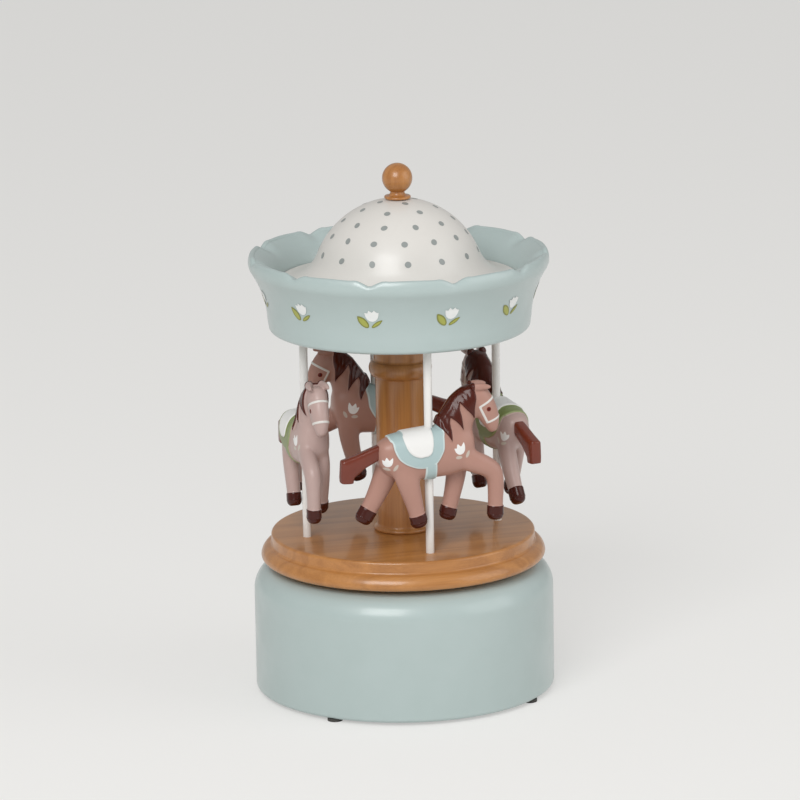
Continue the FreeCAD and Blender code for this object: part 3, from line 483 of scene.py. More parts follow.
class Lathe:
    """Profile drawn from point to point beside the axis, then turned about it."""

    def __init__(self, radius: float, level: float) -> None:
        """Starts the profile at a radius and a level."""
        self.bm = bmesh.new()
        self.tip = self.bm.verts.new((radius * MM, 0.0, level * MM))

    def line(self, *corners: Point) -> Lathe:
        """Draws straight to each corner.

        Args:
            corners: Radius and level of each corner.

        Returns:
            The lathe, to draw on.
        """
        for radius, level in corners:
            self.tip = bmesh.ops.extrude_vert_indiv(self.bm, verts=[self.tip])["verts"][0]
            self.tip.co = (radius * MM, 0.0, level * MM)
        return self

    def arc(self, centre: Point, degrees: float, steps: int) -> Lathe:
        """Draws an arc round a centre.

        Args:
            centre: Radius and level of the centre.
            degrees: Length of the arc, positive for counter-clockwise.
            steps: Number of facets.

        Returns:
            The lathe, to draw on.
        """
        made = bmesh.ops.spin(self.bm, geom=[self.tip], cent=(centre[0] * MM, 0.0, centre[1] * MM),
                              axis=(0.0, -1.0, 0.0), angle=math.radians(degrees), steps=steps)
        self.tip = next(v for v in made["geom_last"] if isinstance(v, bmesh.types.BMVert))
        return self

    def bend(self, end: Point, radius: float, turn: int, steps: int) -> Lathe:
        """Draws an arc to an end point.

        Args:
            end: Radius and level of the end.
            radius: Radius of the arc.
            turn: 1 for counter-clockwise, -1 for clockwise.
            steps: Number of facets.

        Returns:
            The lathe, to draw on.
        """
        start = Vector((self.tip.co.x, self.tip.co.z)) / MM
        chord = Vector(end) - start
        rise = math.sqrt(max(radius ** 2 - chord.length_squared / 4, 0.0))
        left = Vector((-chord.y, chord.x)).normalized()
        centre = start + chord / 2 + left * rise * turn
        sweep = math.degrees(2 * math.asin(min(chord.length / 2 / radius, 1.0)))
        return self.arc((centre.x, centre.y), sweep * turn, steps)

    def turned(self, steps: int = 144) -> bmesh.types.BMesh:
        """Turns the profile into a closed shape.

        Args:
            steps: Number of facets round the axis.

        Returns:
            The turned shape.
        """
        bm = self.bm
        bmesh.ops.spin(bm, geom=bm.verts[:] + bm.edges[:], cent=(0, 0, 0), axis=(0, 0, 1), angle=2 * math.pi,
                       steps=steps, use_merge=True)
        bmesh.ops.remove_doubles(bm, verts=bm.verts, dist=1e-6)
        bmesh.ops.recalc_face_normals(bm, faces=bm.faces)
        return bm


def polar(angle: float, radius: float, level: float) -> Vector:
    """Point at an angle from -Y, a radius and a level, in metres."""
    turn = math.radians(angle)
    return Vector((radius * math.sin(turn), -radius * math.cos(turn), level)) * MM


@dataclass
class Base:
    """Turned base with a broad round shoulder, hollow for the movement and recessed for the key."""

    radius: float = 57.98
    top: float = 50.0
    shoulder: float = 10.0
    foot: float = 1.2
    foot_round: float = 1.5
    recess: float = 51.5
    cavity: float = 46.0
    ledge: float = 17.0
    deck: float = 42.0
    hole: float = 4.0

    def build(self) -> None:
        """Turns the base."""
        lathe = Lathe(self.hole, self.deck).line((self.cavity, self.deck), (self.cavity, self.ledge),
                                                 (self.recess, self.ledge), (self.recess, self.foot),
                                                 (self.radius - self.foot_round, self.foot))
        lathe.arc((self.radius - self.foot_round, self.foot + self.foot_round), 90, 6)
        lathe.line((self.radius, self.top - self.shoulder))
        lathe.arc((self.radius - self.shoulder, self.top - self.shoulder), 90, 20)
        lathe.line((self.hole, self.top), (self.hole, self.deck))
        publish(lathe.turned(), "turned_base", SAGE.material(), ["base_shell"], Body.BASE)


@dataclass
class Turntable:
    """Lacquered disc with a moulded edge: a round bead below, a fine step and an upright band above."""

    bottom: float = 52.0
    top: float = 62.5
    radius: float = 51.0
    bead: float = 55.0
    bead_foot: float = 1.1
    bead_low: float = 1.9
    bead_high: float = 4.6
    cove: float = 1.0
    edge: float = 1.1
    spindle: float = 2.1
    spindle_depth: float = 4.0
    flange: float = 11.1
    flange_depth: float = 2.45
    socket: float = 6.05
    socket_depth: float = 4.0

    def build(self) -> None:
        """Turns the disc."""
        low, radius, rim = self.bottom, self.radius, self.top - self.edge
        lathe = Lathe(0, low + self.spindle_depth)
        lathe.line((self.spindle, low + self.spindle_depth), (self.spindle, low + self.flange_depth),
                   (self.flange, low + self.flange_depth), (self.flange, low),
                   (self.bead - self.bead_foot, low))
        lathe.bend((self.bead, low + 1.7), self.bead_low, 1, 6)
        lathe.bend((radius + 1.6, low + 5.4), self.bead_high, 1, 10)
        lathe.line((radius + 1.2, low + 5.55), (radius + 0.8, low + 5.6))
        lathe.bend((radius, low + 6.5), self.cove, -1, 5)
        lathe.line((radius, rim))
        lathe.arc((radius - self.edge, rim), 90, 8)
        lathe.line((self.socket, self.top), (self.socket, self.top - self.socket_depth),
                   (0, self.top - self.socket_depth))
        publish(lathe.turned(), "turntable_board", BOARD_WOOD.material(), ["platform"])


@dataclass
class Pillar:
    """Turned pillar with a small foot, a ringed capital and a hollow neck under the roof."""

    foot: float = 62.5
    shaft: float = 9.7
    capital: float = 123.6
    capital_top: float = 129.6
    capital_edge: float = 11.2
    capital_round: float = 4.4
    foot_bead: float = 0.85
    foot_cove: float = 1.3
    low_cove: float = 1.0
    high_cove: float = 1.5
    head_flare: float = 25.0
    roof: float = 142.4
    tenon: float = 6.0
    foot_tenon: float = 3.9
    head_tenon: float = 6.0

    def build(self) -> None:
        """Turns the pillar."""
        low, high, shaft = self.capital, self.capital_top, self.shaft
        lathe = Lathe(0, self.foot - self.foot_tenon).line(
            (self.tenon, self.foot - self.foot_tenon), (self.tenon, self.foot), (shaft + 0.8, self.foot))
        lathe.bend((shaft + 0.8, self.foot + 1.6), self.foot_bead, 1, 8)
        lathe.bend((shaft, self.foot + 2.8), self.foot_cove, -1, 5)
        lathe.line((shaft, low - 1))
        lathe.bend((shaft + 0.9, low), self.low_cove, -1, 5)
        lathe.line((self.capital_edge - 0.3, low + 0.05), (self.capital_edge, low + 0.25))
        lathe.bend((self.capital_edge, high - 0.25), self.capital_round, 1, 14)
        lathe.line((self.capital_edge - 0.3, high - 0.05), (shaft + 0.9, high))
        lathe.bend((shaft + 0.5, high + 1.4), self.high_cove, -1, 5)
        lathe.bend((shaft + 1.8, self.roof), self.head_flare, -1, 12)
        lathe.line((self.tenon, self.roof), (self.tenon, self.roof + self.head_tenon),
                   (0, self.roof + self.head_tenon))
        publish(lathe.turned(steps=112), "turned_pillar", TURNED_WOOD.material(),
                ["column"])


@dataclass
class Poles:
    """Straight white poles between the board and the roof."""

    radius: float = 1.6
    circle: float = 38.3
    bottom: float = 58.6
    top: float = 148.3
    facets: int = 40
    end_round: float = 0.3
    end_angle: float = 45.0

    def build(self) -> None:
        """Makes the four poles."""
        white = WHITE.material()
        for side in Side:
            bm = bmesh.new()
            place = polar(side.value, self.circle, (self.bottom + self.top) / 2)
            bmesh.ops.create_cone(bm, cap_ends=True, segments=self.facets, radius1=self.radius * MM,
                                  radius2=self.radius * MM, depth=(self.top - self.bottom) * MM,
                                  matrix=Matrix.Translation(place))
            ends = [e for e in bm.edges if e.calc_face_angle(0.0) > math.radians(self.end_angle)]
            bmesh.ops.bevel(bm, geom=ends, offset=self.end_round * MM, segments=3, profile=0.5,
                            affect="EDGES", material=-1, clamp_overlap=True)
            publish(bm, f"white_pole_{side.word}", white, [f"pole_{side.word}"])


@dataclass
class PaintedMark:
    """Brush mark: a flat outline laid on a curved surface as a thin cushion of paint."""

    outline: Sequence[Point]
    rim: float = 0.22
    height: float = 0.1
    sunk: float = 0.04
    approach: float = 20.0

    def lay(self, bm: bmesh.types.BMesh, surface: BVHTree, origin: Vector, across: Vector,
            up: Vector) -> None:
        """Adds the mark to a bmesh.

        Args:
            bm: Collects the marks of one colour.
            surface: Surface that carries the mark.
            origin: Point near the surface under the outline's own origin, in metres.
            across: Direction of the outline's first coordinate.
            up: Direction of its second coordinate.
        """
        verts = [bm.verts.new(origin + (across * x + up * y) * MM) for x, y in self.outline]
        face = bmesh.ops.contextual_create(bm, geom=verts)["faces"][0]
        outward = across.cross(up).normalized()
        bmesh.ops.inset_region(bm, faces=[face], thickness=self.rim * MM, use_even_offset=True)
        inner = set(face.verts)
        for vert in inner.union(verts):
            spot, normal, *_ = surface.ray_cast(vert.co + outward * self.approach * MM, -outward)
            if spot is not None:
                vert.co = spot + normal * (self.height if vert in inner else -self.sunk) * MM


def oval(centre: Point, length: float, width: float, tilt: float, tip: float = 0.35,
         count: int = 18) -> list[Point]:
    """Leaf-like oval.

    Args:
        centre: Middle of the oval.
        length: From end to end.
        width: Across the middle.
        tilt: Angle of its length in degrees.
        tip: How pointed the far end is, from 0 to 1.
        count: Number of corners.

    Returns:
        Corners, counter-clockwise.
    """
    turn = math.radians(tilt)
    points = []
    for step in range(count):
        angle = 2 * math.pi * step / count
        along = math.cos(angle) * length / 2
        side = math.sin(angle) * width / 2 * (1 - tip * max(math.cos(angle), 0) ** 2)
        points.append((centre[0] + along * math.cos(turn) - side * math.sin(turn),
                       centre[1] + along * math.sin(turn) + side * math.cos(turn)))
    return points


TULIP_CUP: tuple[Point, ...] = (
    (0.1, -2.0), (0.9, -1.8), (1.6, -1.1), (1.95, -0.2), (2.1, 0.8), (2.05, 2.0), (1.5, 1.6), (0.95, 1.0),
    (0.55, 0.75), (0.2, 1.3), (-0.4, 2.2), (-0.8, 1.5), (-1.1, 0.6), (-1.5, 0.75), (-2.05, 1.05),
    (-1.95, 0.2), (-1.75, -0.7), (-1.2, -1.5), (-0.6, -1.9),
)
TULIP_FAN: tuple[Point, ...] = (
    (0.0, -2.1), (0.9, -1.85), (1.65, -1.15), (2.15, -0.1), (2.45, 1.3), (1.95, 1.3), (1.55, 1.15),
    (1.4, 1.6), (1.0, 2.2), (0.55, 1.75), (0.15, 1.45), (-0.25, 1.75), (-0.75, 2.25), (-1.1, 1.75),
    (-1.35, 1.2), (-1.8, 1.35), (-2.35, 1.4), (-2.15, -0.1), (-1.7, -1.15), (-0.95, -1.85),
)


@dataclass
class Roof:
    """Roof: a flared ring with a rolled, nicked lip and painted tulips, and a dotted dome with a knob."""

    bottom: float = 142.4
    ring: float = 50.2
    lip: float = 56.6
    lip_level: float = 165.6
    rim: float = 171.9
    floor: float = 159.6
    dish: float = 46.2
    nicks: int = 11
    nick_phase: float = 6.0
    nick_depth: float = 1.9
    nick_width: float = 4.6
    tulip_phase: float = 6.6
    tulip_level: float = 157.4
    dome_top: float = 192.5
    dome_radius: float = 33.5
    dome_leave: float = 22.0
    dome_flare: float = 15.8
    dot_radius: float = 1.25
    socket: float = 6.05
    low_round: float = 1.8
    flare: float = 38.0
    lip_roll: float = 6.0
    rim_round: float = 1.2
    dish_round: float = 16.0
    nick_reach: float = 7.0
    nick_curve: float = 1.25
    cusp: float = 0.2
    cusp_gap: float = 1.2
    cusp_width: float = 1.1
    swell: float = 0.3
    tulip_lean: float = 5.0
    lean_step: float = 2.1
    fan_scale: Point = (1.15, 1.08)
    fan_shift: Point = (-0.4, 0.7)
    leaf_tip: float = 0.5
    dot_wobble: float = 0.09
    wobble_step: float = 7.3
    dot_turn: float = 3.1
    dome_gap: float = 0.3
    dome_edge: float = 2.0
    peg: float = 3.0
    peg_length: float = 8.9
    collar: float = 4.5
    collar_round: float = 0.6
    neck: float = 2.8
    neck_level: float = 2.8
    ball: float = 5.8

    DOT_ROWS = ((24.4, 14, 17.0), (38.3, 14, 15.5), (51.0, 11, 3.0), (64.5, 7, 20.0), (77.5, 4, 8.0))
    LEAVES = (((1.1, -2.6), 5.2, 1.55, 32), ((-4.2, -1.5), 6.1, 3.0, 128))
    VEINS = (((1.1, -2.6), 4.0, 0.75, 32), ((-4.1, -1.6), 4.8, 1.9, 128))

    def ring_shape(self) -> bmesh.types.BMesh:
        """Turns the ring and sinks the nicks into its rim.

        Returns:
            The ring's shape.
        """
        low, inset = self.bottom, self.ring - self.low_round
        lathe = Lathe(0, low + self.socket).line((self.socket, low + self.socket), (self.socket, low),
                                                 (inset, low))
        lathe.arc((inset, low + self.low_round), 90, 8)
        lathe.line((self.ring + 0.4, low + 4.5))
        lathe.bend((self.lip, self.lip_level), self.flare, -1, 20)
        lathe.bend((self.lip + 0.2, self.rim), self.lip_roll, 1, 12)
        lathe.bend((self.lip - 1.6, self.rim - 0.6), self.rim_round, 1, 8)
        lathe.bend((self.dish, self.floor + 2.3), self.dish_round, 1, 12)
        lathe.line((self.dish, self.floor), (0, self.floor))
        bm = lathe.turned(steps=264)
        pitch = 360 / self.nicks
        for vert in bm.verts:
            reach = (vert.co.z / MM - (self.rim - self.nick_reach)) / self.nick_reach
            radius = math.hypot(vert.co.x, vert.co.y) / MM
            if reach <= 0 or radius < self.dish:
                continue
            angle = math.degrees(math.atan2(vert.co.x, -vert.co.y)) - self.nick_phase
            away = math.radians((angle + pitch / 2) % pitch - pitch / 2) * self.lip
            notch = max(0.0, 1 - abs(away) / self.nick_width)
            cusp = math.exp(-((abs(away) - self.nick_width - self.cusp_gap) / self.cusp_width) ** 2)
            swell = 0.5 + 0.5 * math.cos(2 * math.pi * away / (math.radians(pitch) * self.lip))
            drop = self.nick_depth * notch ** self.nick_curve - self.cusp * cusp + self.swell * swell
            vert.co.z -= drop * reach ** 2 * MM
        return bm

    def dome_shape(self) -> bmesh.types.BMesh:
        """Turns the dome.

        Returns:
            The dome's shape.
        """
        middle = self.dome_top - self.dome_radius
        leave = math.radians(self.dome_leave)
        edge = (self.dome_radius * math.cos(leave), middle + self.dome_radius * math.sin(leave))
        foot = self.dish - self.dome_gap
        lathe = Lathe(0, self.floor).line((foot, self.floor), (foot, self.floor + self.dome_edge))
        lathe.bend(edge, self.dome_flare, -1, 14)
        lathe.arc((0, middle), 90 - self.dome_leave, 26)
        return lathe.turned(steps=160)

    def dots(self) -> list[tuple[float, float]]:
        """Places of the dots as angle and height on the dome, in staggered rows.

        Returns:
            Pairs of degrees round the axis and degrees above the dome's middle.
        """
        return [(phase + 360 * k / count, height) for height, count, phase in self.DOT_ROWS
                for k in range(count)]

    def build(self) -> None:
        """Makes the ring, the dome, the knob and the painted marks."""
        ring = self.ring_shape()
        ring_surface = BVHTree.FromBMesh(ring)
        publish(ring, "roof_ring", SAGE.material(), ["canopy"])
        dome = self.dome_shape()
        dome_surface = BVHTree.FromBMesh(dome)
        publish(dome, "roof_dome", IVORY.material(), ["dome"])
        self.paint_tulips(ring_surface)
        self.paint_dots(dome_surface)
        self.build_knob()

    def paint_tulips(self, surface: BVHTree) -> None:
        """Lays a tulip with two leaves under each nick of the rim.

        Args:
            surface: The ring's surface.
        """
        petals, leaves, veins = bmesh.new(), bmesh.new(), bmesh.new()
        edges = [PaintedMark(oval(*leaf, self.leaf_tip)) for leaf in self.LEAVES]
        middles = [PaintedMark(oval(*vein, self.leaf_tip), rim=0.1, height=0.15) for vein in self.VEINS]
        (wide, high), (shift, rise) = self.fan_scale, self.fan_shift
        cup = PaintedMark([(x * wide + shift, y * high + rise) for x, y in TULIP_FAN], height=0.17)
        for nick in range(self.nicks):
            angle = self.tulip_phase + 360 / self.nicks * nick
            turn, lean = math.radians(angle), math.radians(self.tulip_lean) * math.sin(self.lean_step * nick)
            level, upright = Vector((math.cos(turn), math.sin(turn), 0)), Vector((0, 0, 1))
            across = level * math.cos(lean) + upright * math.sin(lean)
            up = upright * math.cos(lean) - level * math.sin(lean)
            origin = polar(angle, self.ring + 2, self.tulip_level)
            for bm, marks in ((leaves, edges), (veins, middles), (petals, [cup])):
                for mark in marks:
                    mark.lay(bm, surface, origin, across, up)
        publish(leaves, "ring_leaves", LEAF.material())
        publish(veins, "ring_leaf_veins", VEIN.material())
        publish(petals, "ring_tulips", PETAL.material())

    def paint_dots(self, surface: BVHTree) -> None:
        """Lays the dots on the dome.

        Args:
            surface: The dome's surface.
        """
        bm = bmesh.new()
        middle = self.dome_top - self.dome_radius
        for angle, height in self.dots():
            turn, lift = math.radians(angle), math.radians(height)
            origin = polar(angle, self.dome_radius * math.cos(lift),
                           middle + self.dome_radius * math.sin(lift))
            across = Vector((math.cos(turn), math.sin(turn), 0))
            outward = Vector((math.sin(turn) * math.cos(lift), -math.cos(turn) * math.cos(lift),
                              math.sin(lift)))
            wobble = self.dot_wobble * math.sin(angle * self.wobble_step + height)
            dot = oval((0, 0), 2 * self.dot_radius * (1 + wobble), 2 * self.dot_radius * (1 - wobble),
                       angle * self.dot_turn, tip=0.0, count=20)
            PaintedMark(dot, rim=0.3, height=0.06).lay(bm, surface, origin, across, outward.cross(across))
        publish(bm, "dome_dots", SLATE.material())

    def build_knob(self) -> None:
        """Turns the knob on the dome."""
        low, neck, ball = self.dome_top, self.neck, self.ball
        lathe = Lathe(0, low - self.peg_length).line((self.peg, low - self.peg_length), (self.peg, low),
                                                     (self.collar, low))
        lathe.arc((self.collar, low + self.collar_round), 180, 8)
        lathe.line((3.5, low + 1.3), (2.9, low + 1.9), (2.75, low + 2.4), (neck, low + self.neck_level))
        start = math.degrees(math.acos(neck / ball))
        lathe.arc((0, low + self.neck_level + math.sqrt(ball ** 2 - neck ** 2)), 90 + start, 24)
        publish(lathe.turned(steps=64), "roof_knob", TURNED_WOOD.material(), ["finial"])


def polygon_distance(spots: np.ndarray, corners: Sequence[Point]) -> np.ndarray:
    """Distance of points to an outline.

    Args:
        spots: Points, one row each.
        corners: Closed outline.

    Returns:
        Distances, positive inside the outline.
    """
    loop = np.asarray(corners, float)
    nearest = line_distance(spots, list(map(tuple, loop)) + [tuple(loop[0])])
    inside = np.zeros(len(spots), bool)
    for (x0, y0), (x1, y1) in zip(loop, np.roll(loop, -1, axis=0)):
        if y0 == y1:
            continue
        crosses = (spots[:, 1] < max(y0, y1)) & (spots[:, 1] >= min(y0, y1))
        inside ^= crosses & (spots[:, 0] < x0 + (spots[:, 1] - y0) * (x1 - x0) / (y1 - y0))
    return np.where(inside, nearest, -nearest)


def line_distance(spots: np.ndarray, path: Sequence[Point]) -> np.ndarray:
    """Distance of points to an open line.

    Args:
        spots: Points, one row each.
        path: Corners of the line.

    Returns:
        Distances, none of them negative.
    """
    nearest = np.full(len(spots), np.inf)
    for begin, end in zip(np.asarray(path[:-1], float), np.asarray(path[1:], float)):
        run = end - begin
        share = np.clip((spots - begin) @ run / (run @ run), 0, 1)
        nearest = np.minimum(nearest, np.linalg.norm(spots - begin - share[:, None] * run, axis=1))
    return nearest


def curved(corners: Sequence[Point], steps: int = 6) -> list[Point]:
    """Smooth closed outline through its corners. A corner given twice stays sharp.

    Args:
        corners: Points that the outline passes through.
        steps: Short runs between two points.

    Returns:
        The finer outline.
    """
    ring = [Vector(c) for c in corners]
    points: list[Point] = []
    for index, here in enumerate(ring):
        before, ahead = ring[index - 1], ring[(index + 1) % len(ring)]
        further = ring[(index + 2) % len(ring)]
        if here == ahead:
            continue
        for step in range(steps):
            t = step / steps
            spot = 0.5 * (2 * here + (ahead - before) * t
                          + (2 * before - 5 * here + 4 * ahead - further) * t ** 2
                          + (3 * here - before - 3 * ahead + further) * t ** 3)
            points.append((spot.x, spot.y))
    return points


def moved(outline: Sequence[Point], place: Point, turn: float, scale: float) -> list[Point]:
    """Outline scaled, turned by degrees and moved to a place."""
    cos, sin = math.cos(math.radians(turn)) * scale, math.sin(math.radians(turn)) * scale
    return [(place[0] + x * cos - y * sin, place[1] + x * sin + y * cos) for x, y in outline]


@dataclass(frozen=True)
class Section:
    """Cross-section of a limb that runs at a heading above the horizontal."""

    forward: float
    sideways: float
    up: float
    heading: float
    fore: float
    side: float

    def matrix(self) -> Matrix:
        """Puts a circle of radius one in place."""
        return Matrix.LocRotScale(Vector((self.forward, self.sideways, self.up)),
                                  Euler((0, math.radians(90 - self.heading), 0)),
                                  Vector((self.fore, self.side, 1)))


def limb(bm: bmesh.types.BMesh, sections: Sequence[Section], segments: int = 20, power: float = 2.0) -> None:
    """Adds a closed limb through its cross-sections.

    Args:
        bm: Shape that takes the limb.
        sections: Cross-sections from one end to the other.
        segments: Corners of each cross-section.
        power: 2 for round cross-sections, more for squarer ones.
    """
    rings = []
    for section in sections:
        made = bmesh.ops.create_circle(bm, segments=segments, radius=1.0)
        for vert in made["verts"]:
            vert.co /= (abs(vert.co.x) ** power + abs(vert.co.y) ** power) ** (1 / power)
        bmesh.ops.transform(bm, matrix=section.matrix(), verts=made["verts"])
        rings.append(list({edge for vert in made["verts"] for edge in vert.link_edges}))
    for ring in (rings[0], rings[-1]):
        bmesh.ops.contextual_create(bm, geom=ring)
    for near, far in zip(rings, rings[1:]):
        bmesh.ops.bridge_loops(bm, edges=near + far)


def moulded(bm: bmesh.types.BMesh, voxel: float, rounds: int, levels: int = 2) -> bmesh.types.BMesh:
    """Melts overlapping limbs into one skin and smooths its joins.

    Args:
        bm: Limbs in millimetres. It is freed.
        voxel: Size of the new skin's faces in millimetres.
        rounds: Number of smoothing rounds.
        levels: Fineness of the limbs' own curves, 0 for straight runs between cross-sections.

    Returns:
        The moulded shape.
    """
    bmesh.ops.recalc_face_normals(bm, faces=bm.faces)
    holder = bpy.data.objects.new("rough", settled(bm, "rough"))
    bpy.context.scene.collection.objects.link(holder)
    smoothing = holder.modifiers.new("smoothing", "SUBSURF")
    smoothing.levels = smoothing.render_levels = levels
    skin = holder.modifiers.new("skin", "REMESH")
    skin.mode = "VOXEL"
    skin.voxel_size = voxel
    solid = bpy.data.meshes.new_from_object(holder.evaluated_get(bpy.context.evaluated_depsgraph_get()))
    bpy.data.objects.remove(holder)
    shape = bmesh.new()
    shape.from_mesh(solid)
    for _ in range(rounds):
        bmesh.ops.smooth_vert(shape, verts=shape.verts, factor=0.5, use_axis_x=True, use_axis_y=True,
                              use_axis_z=True)
    return shape


@dataclass
class Horse:
    """Moulded horse on its pole: forward is its nose, sideways its left, up from the board."""

    circle: float = 38.3
    board: float = 62.5
    leg_side: float = 3.5
    leg_over: float = 2.6
    hoof_reach: float = 9.0
    hoof_width: float = 4.6
    hoof_off: float = -5.0
    sole_reach: float = 6.0
    sole_span: float = 1.6
    sole_round: float = 1.9
    smoothed: float = 0.87
    askew: float = 9.5
    body_voxel: float = 0.45
    body_rounds: int = 22
    skin_voxel: float = 0.33
    tail_voxel: float = 0.3
    skin_rounds: int = 4
    # half width and inset of the painted highlight band along the blanket's raised edge
    edge_highlight_half: float = 0.28
    edge_highlight_inset: float = 0.3
    strap_half: float = 0.42
    eye_radius: float = 0.9
    pupil_radius: float = 0.43
    trim_lead: float = 0.3
    trim_slope: float = 0.65
    hair_edge: float = 0.8
    crest_height: float = 0.4
    crest_width: float = 0.6
    lock_depth: float = 0.1
    lock_width: float = 0.35

    TRUNK = ((-20.6, 40.2, 3.5, 3.0), (-18.9, 39.7, 5.8, 5.1), (-14.0, 38.6, 8.6, 6.8),
             (-4.4, 38.7, 9.3, 7.1), (5.2, 39.3, 9.6, 7.0), (11.6, 40.2, 9.8, 6.7), (15.8, 41.1, 7.8, 5.5),
             (17.7, 41.5, 4.6, 3.6))
    NECK = ((8.9, 43.2, 71, 8.7, 6.2), (10.9, 50.6, 62, 6.8, 5.2), (14.2, 56.3, 48, 6.0, 4.7),
            (18.1, 59.5, 22, 5.0, 4.25), (20.4, 60.0, 0, 4.1, 3.8))
    HEAD = ((17.4, 61.6, -38, 4.2, 3.5), (19.7, 60.2, -46, 4.6, 3.8), (21.4, 56.8, -62, 4.9, 3.9),
            (23.0, 53.4, -67, 4.65, 3.7), (24.5, 50.4, -69, 3.9, 3.3), (25.4, 47.6, -71, 2.75, 2.6),
            (25.7, 44.9, -72, 2.0, 1.9))
    LEGS = (
        (-1, ((10.5, 37.7, -22, 5.0, 2.55), (18.1, 34.5, -20, 4.4, 3.4), (22.4, 32.6, -33, 4.1, 3.4),
              (24.9, 30.2, -61, 4.0, 3.4), (25.4, 25.9, -89, 3.4, 3.0), (25.0, 17.5, -92, 3.0, 2.6),
              (24.9, 12.2, -92, 3.25, 2.85))),
        (1, ((12.1, 38.9, -93, 4.9, 2.55), (12.1, 29.4, -98, 4.15, 3.3), (8.9, 16.6, -109, 3.15, 2.75),
             (7.5, 12.0, -109, 3.4, 2.9))),
        (-1, ((-12.0, 39.1, -75, 5.75, 2.9), (-9.0, 28.4, -73, 4.6, 3.4), (-5.8, 16.3, -74, 3.0, 2.6),
              (-4.7, 11.7, -74, 3.45, 2.95))),
        (1, ((-13.4, 39.7, -107, 5.75, 2.9), (-16.7, 28.9, -117, 4.8, 3.4), (-22.8, 18.1, -121, 3.3, 2.75),
             (-25.9, 13.3, -121, 3.5, 2.9))),
    )
    EAR = ((16.8, 2.3, 63.4, 2, 1.6, 1.4), (19.2, 2.9, 63.8, 0, 1.65, 1.35), (21.8, 3.3, 63.8, -4, 1.25, 1.0),
           (24.2, 3.5, 63.5, -6, 0.5, 0.45))
    TAIL = ((-18.0, 0.0, 41.6, 198, 2.5, 2.35), (-21.5, 0.0, 40.2, 202, 2.75, 2.4),
            (-27.0, 0.0, 37.8, 206, 3.1, 2.4), (-31.0, 0.0, 36.0, 232, 4.4, 2.4),
            (-32.2, 0.0, 32.2, 264, 2.7, 2.3), (-32.3, 0.0, 29.9, 267, 2.5, 2.2))
    MANE = ((3.0, 52.7), (3.7, 57.6), (8.6, 63.1), (13.5, 67.4), (18.0, 68.5), (18.0, 68.5), (17.6, 62.5),
            (17.7, 59.6), (17.0, 56.0), (16.8, 51.8), (16.8, 51.8), (15.7, 53.7), (13.8, 55.7), (11.7, 58.1),
            (11.7, 58.1), (11.3, 56.1), (11.8, 52.9), (12.3, 47.8), (12.3, 47.8), (10.9, 50.1), (9.3, 51.8),
            (7.8, 52.9), (7.8, 52.9), (7.4, 51.0), (7.8, 47.4), (7.5, 44.1), (7.5, 44.1), (6.3, 46.1),
            (4.8, 48.0), (3.2, 50.1))
    CREST = ((16.4, 62.5), (13.4, 62.0), (10.0, 59.2), (8.2, 55.9), (6.8, 54.1), (5.5, 52.1))
    LOCKS = (((15.0, 60.9), (16.4, 53.9)), ((13.3, 60.4), (15.2, 55.5)), ((10.6, 58.2), (11.9, 50.1)),
             ((9.2, 56.6), (10.4, 51.7)), ((6.8, 53.3), (7.2, 46.8)), ((5.2, 51.6), (6.2, 47.3)))
    BLANKET = ((-16.3, 58.0), (-16.3, 58.0), (-16.3, 46.7), (-15.3, 44.8), (-14.9, 42.4), (-13.5, 39.3),
               (-11.4, 37.3), (-9.0, 36.0), (-6.1, 35.0), (-3.1, 34.8), (-0.6, 35.5), (1.4, 36.6),
               (2.5, 38.0), (3.6, 40.0), (4.3, 41.9), (4.6, 45.8), (5.0, 48.2), (5.0, 58.0), (5.0, 58.0))
    GIRTH = ((-2.8, 25.5), (2.0, 25.5), (1.3, 36.9), (-3.1, 36.9))
    SADDLE = ((-10.6, 58.0), (-10.6, 58.0), (-10.6, 47.9), (-11.2, 46.2), (-10.1, 42.6), (-8.1, 40.3),
              (-5.3, 39.2), (-3.6, 39.4), (-2.2, 39.6), (-0.8, 40.7), (-0.1, 43.0), (0.1, 44.6), (0.3, 47.7),
              (0.3, 58.0), (0.3, 58.0))
    BRIDLE = ((27.6, 60.6), (19.4, 56.0), (22.6, 49.6), (30.7, 53.0))
    EYE = (22.9, 55.0)
    CUPS = (((10.5, 41.1), 14, 1.07), ((-17.5, 37.9), 0, 0.92))
    LEAVES = (((10.1, 37.9), 2.7, 1.35, 0), ((13.7, 38.9), 3.0, 1.25, 65), ((-17.6, 35.1), 2.7, 1.2, -15),
              ((-14.5, 35.7), 3.1, 1.25, 60))
    HEIGHTS = {Coat.BLANKET: 0.6, Coat.SADDLE: 0.6, Coat.MANE: 1.0, Coat.HOOF: 0.32, Coat.STRAP: 0.2,
               Coat.PETAL: 0.08, Coat.LEAF: 0.07, Coat.EYE: 0.12}

    def skin(self) -> bmesh.types.BMesh:
        """Moulds the bare horse.

        Returns:
            Its shape in millimetres about the pole.
        """
        bm = bmesh.new()
        limb(bm, [Section(u, 0, z, 0, high, wide) for u, z, high, wide in self.TRUNK], segments=24, power=2.7)
        for run in (self.NECK, self.HEAD):
            limb(bm, [Section(u, 0, *rest) for u, *rest in run])
        for hand, run in self.LEGS:
            sections = [Section(u, hand * self.leg_side, *rest) for u, *rest in run]
            sole, turn = sections[-1], math.radians(sections[-1].heading)
            limb(bm, sections + [replace(sole, forward=sole.forward + self.leg_over * math.cos(turn),
                                         up=sole.up + self.leg_over * math.sin(turn))])
        shape = moulded(bm, self.body_voxel, self.body_rounds)
        for hand in (-1, 1):
            limb(shape, [Section(u, hand * w, *rest) for u, w, *rest in self.EAR], segments=14)
        return moulded(shape, self.skin_voxel, self.skin_rounds)

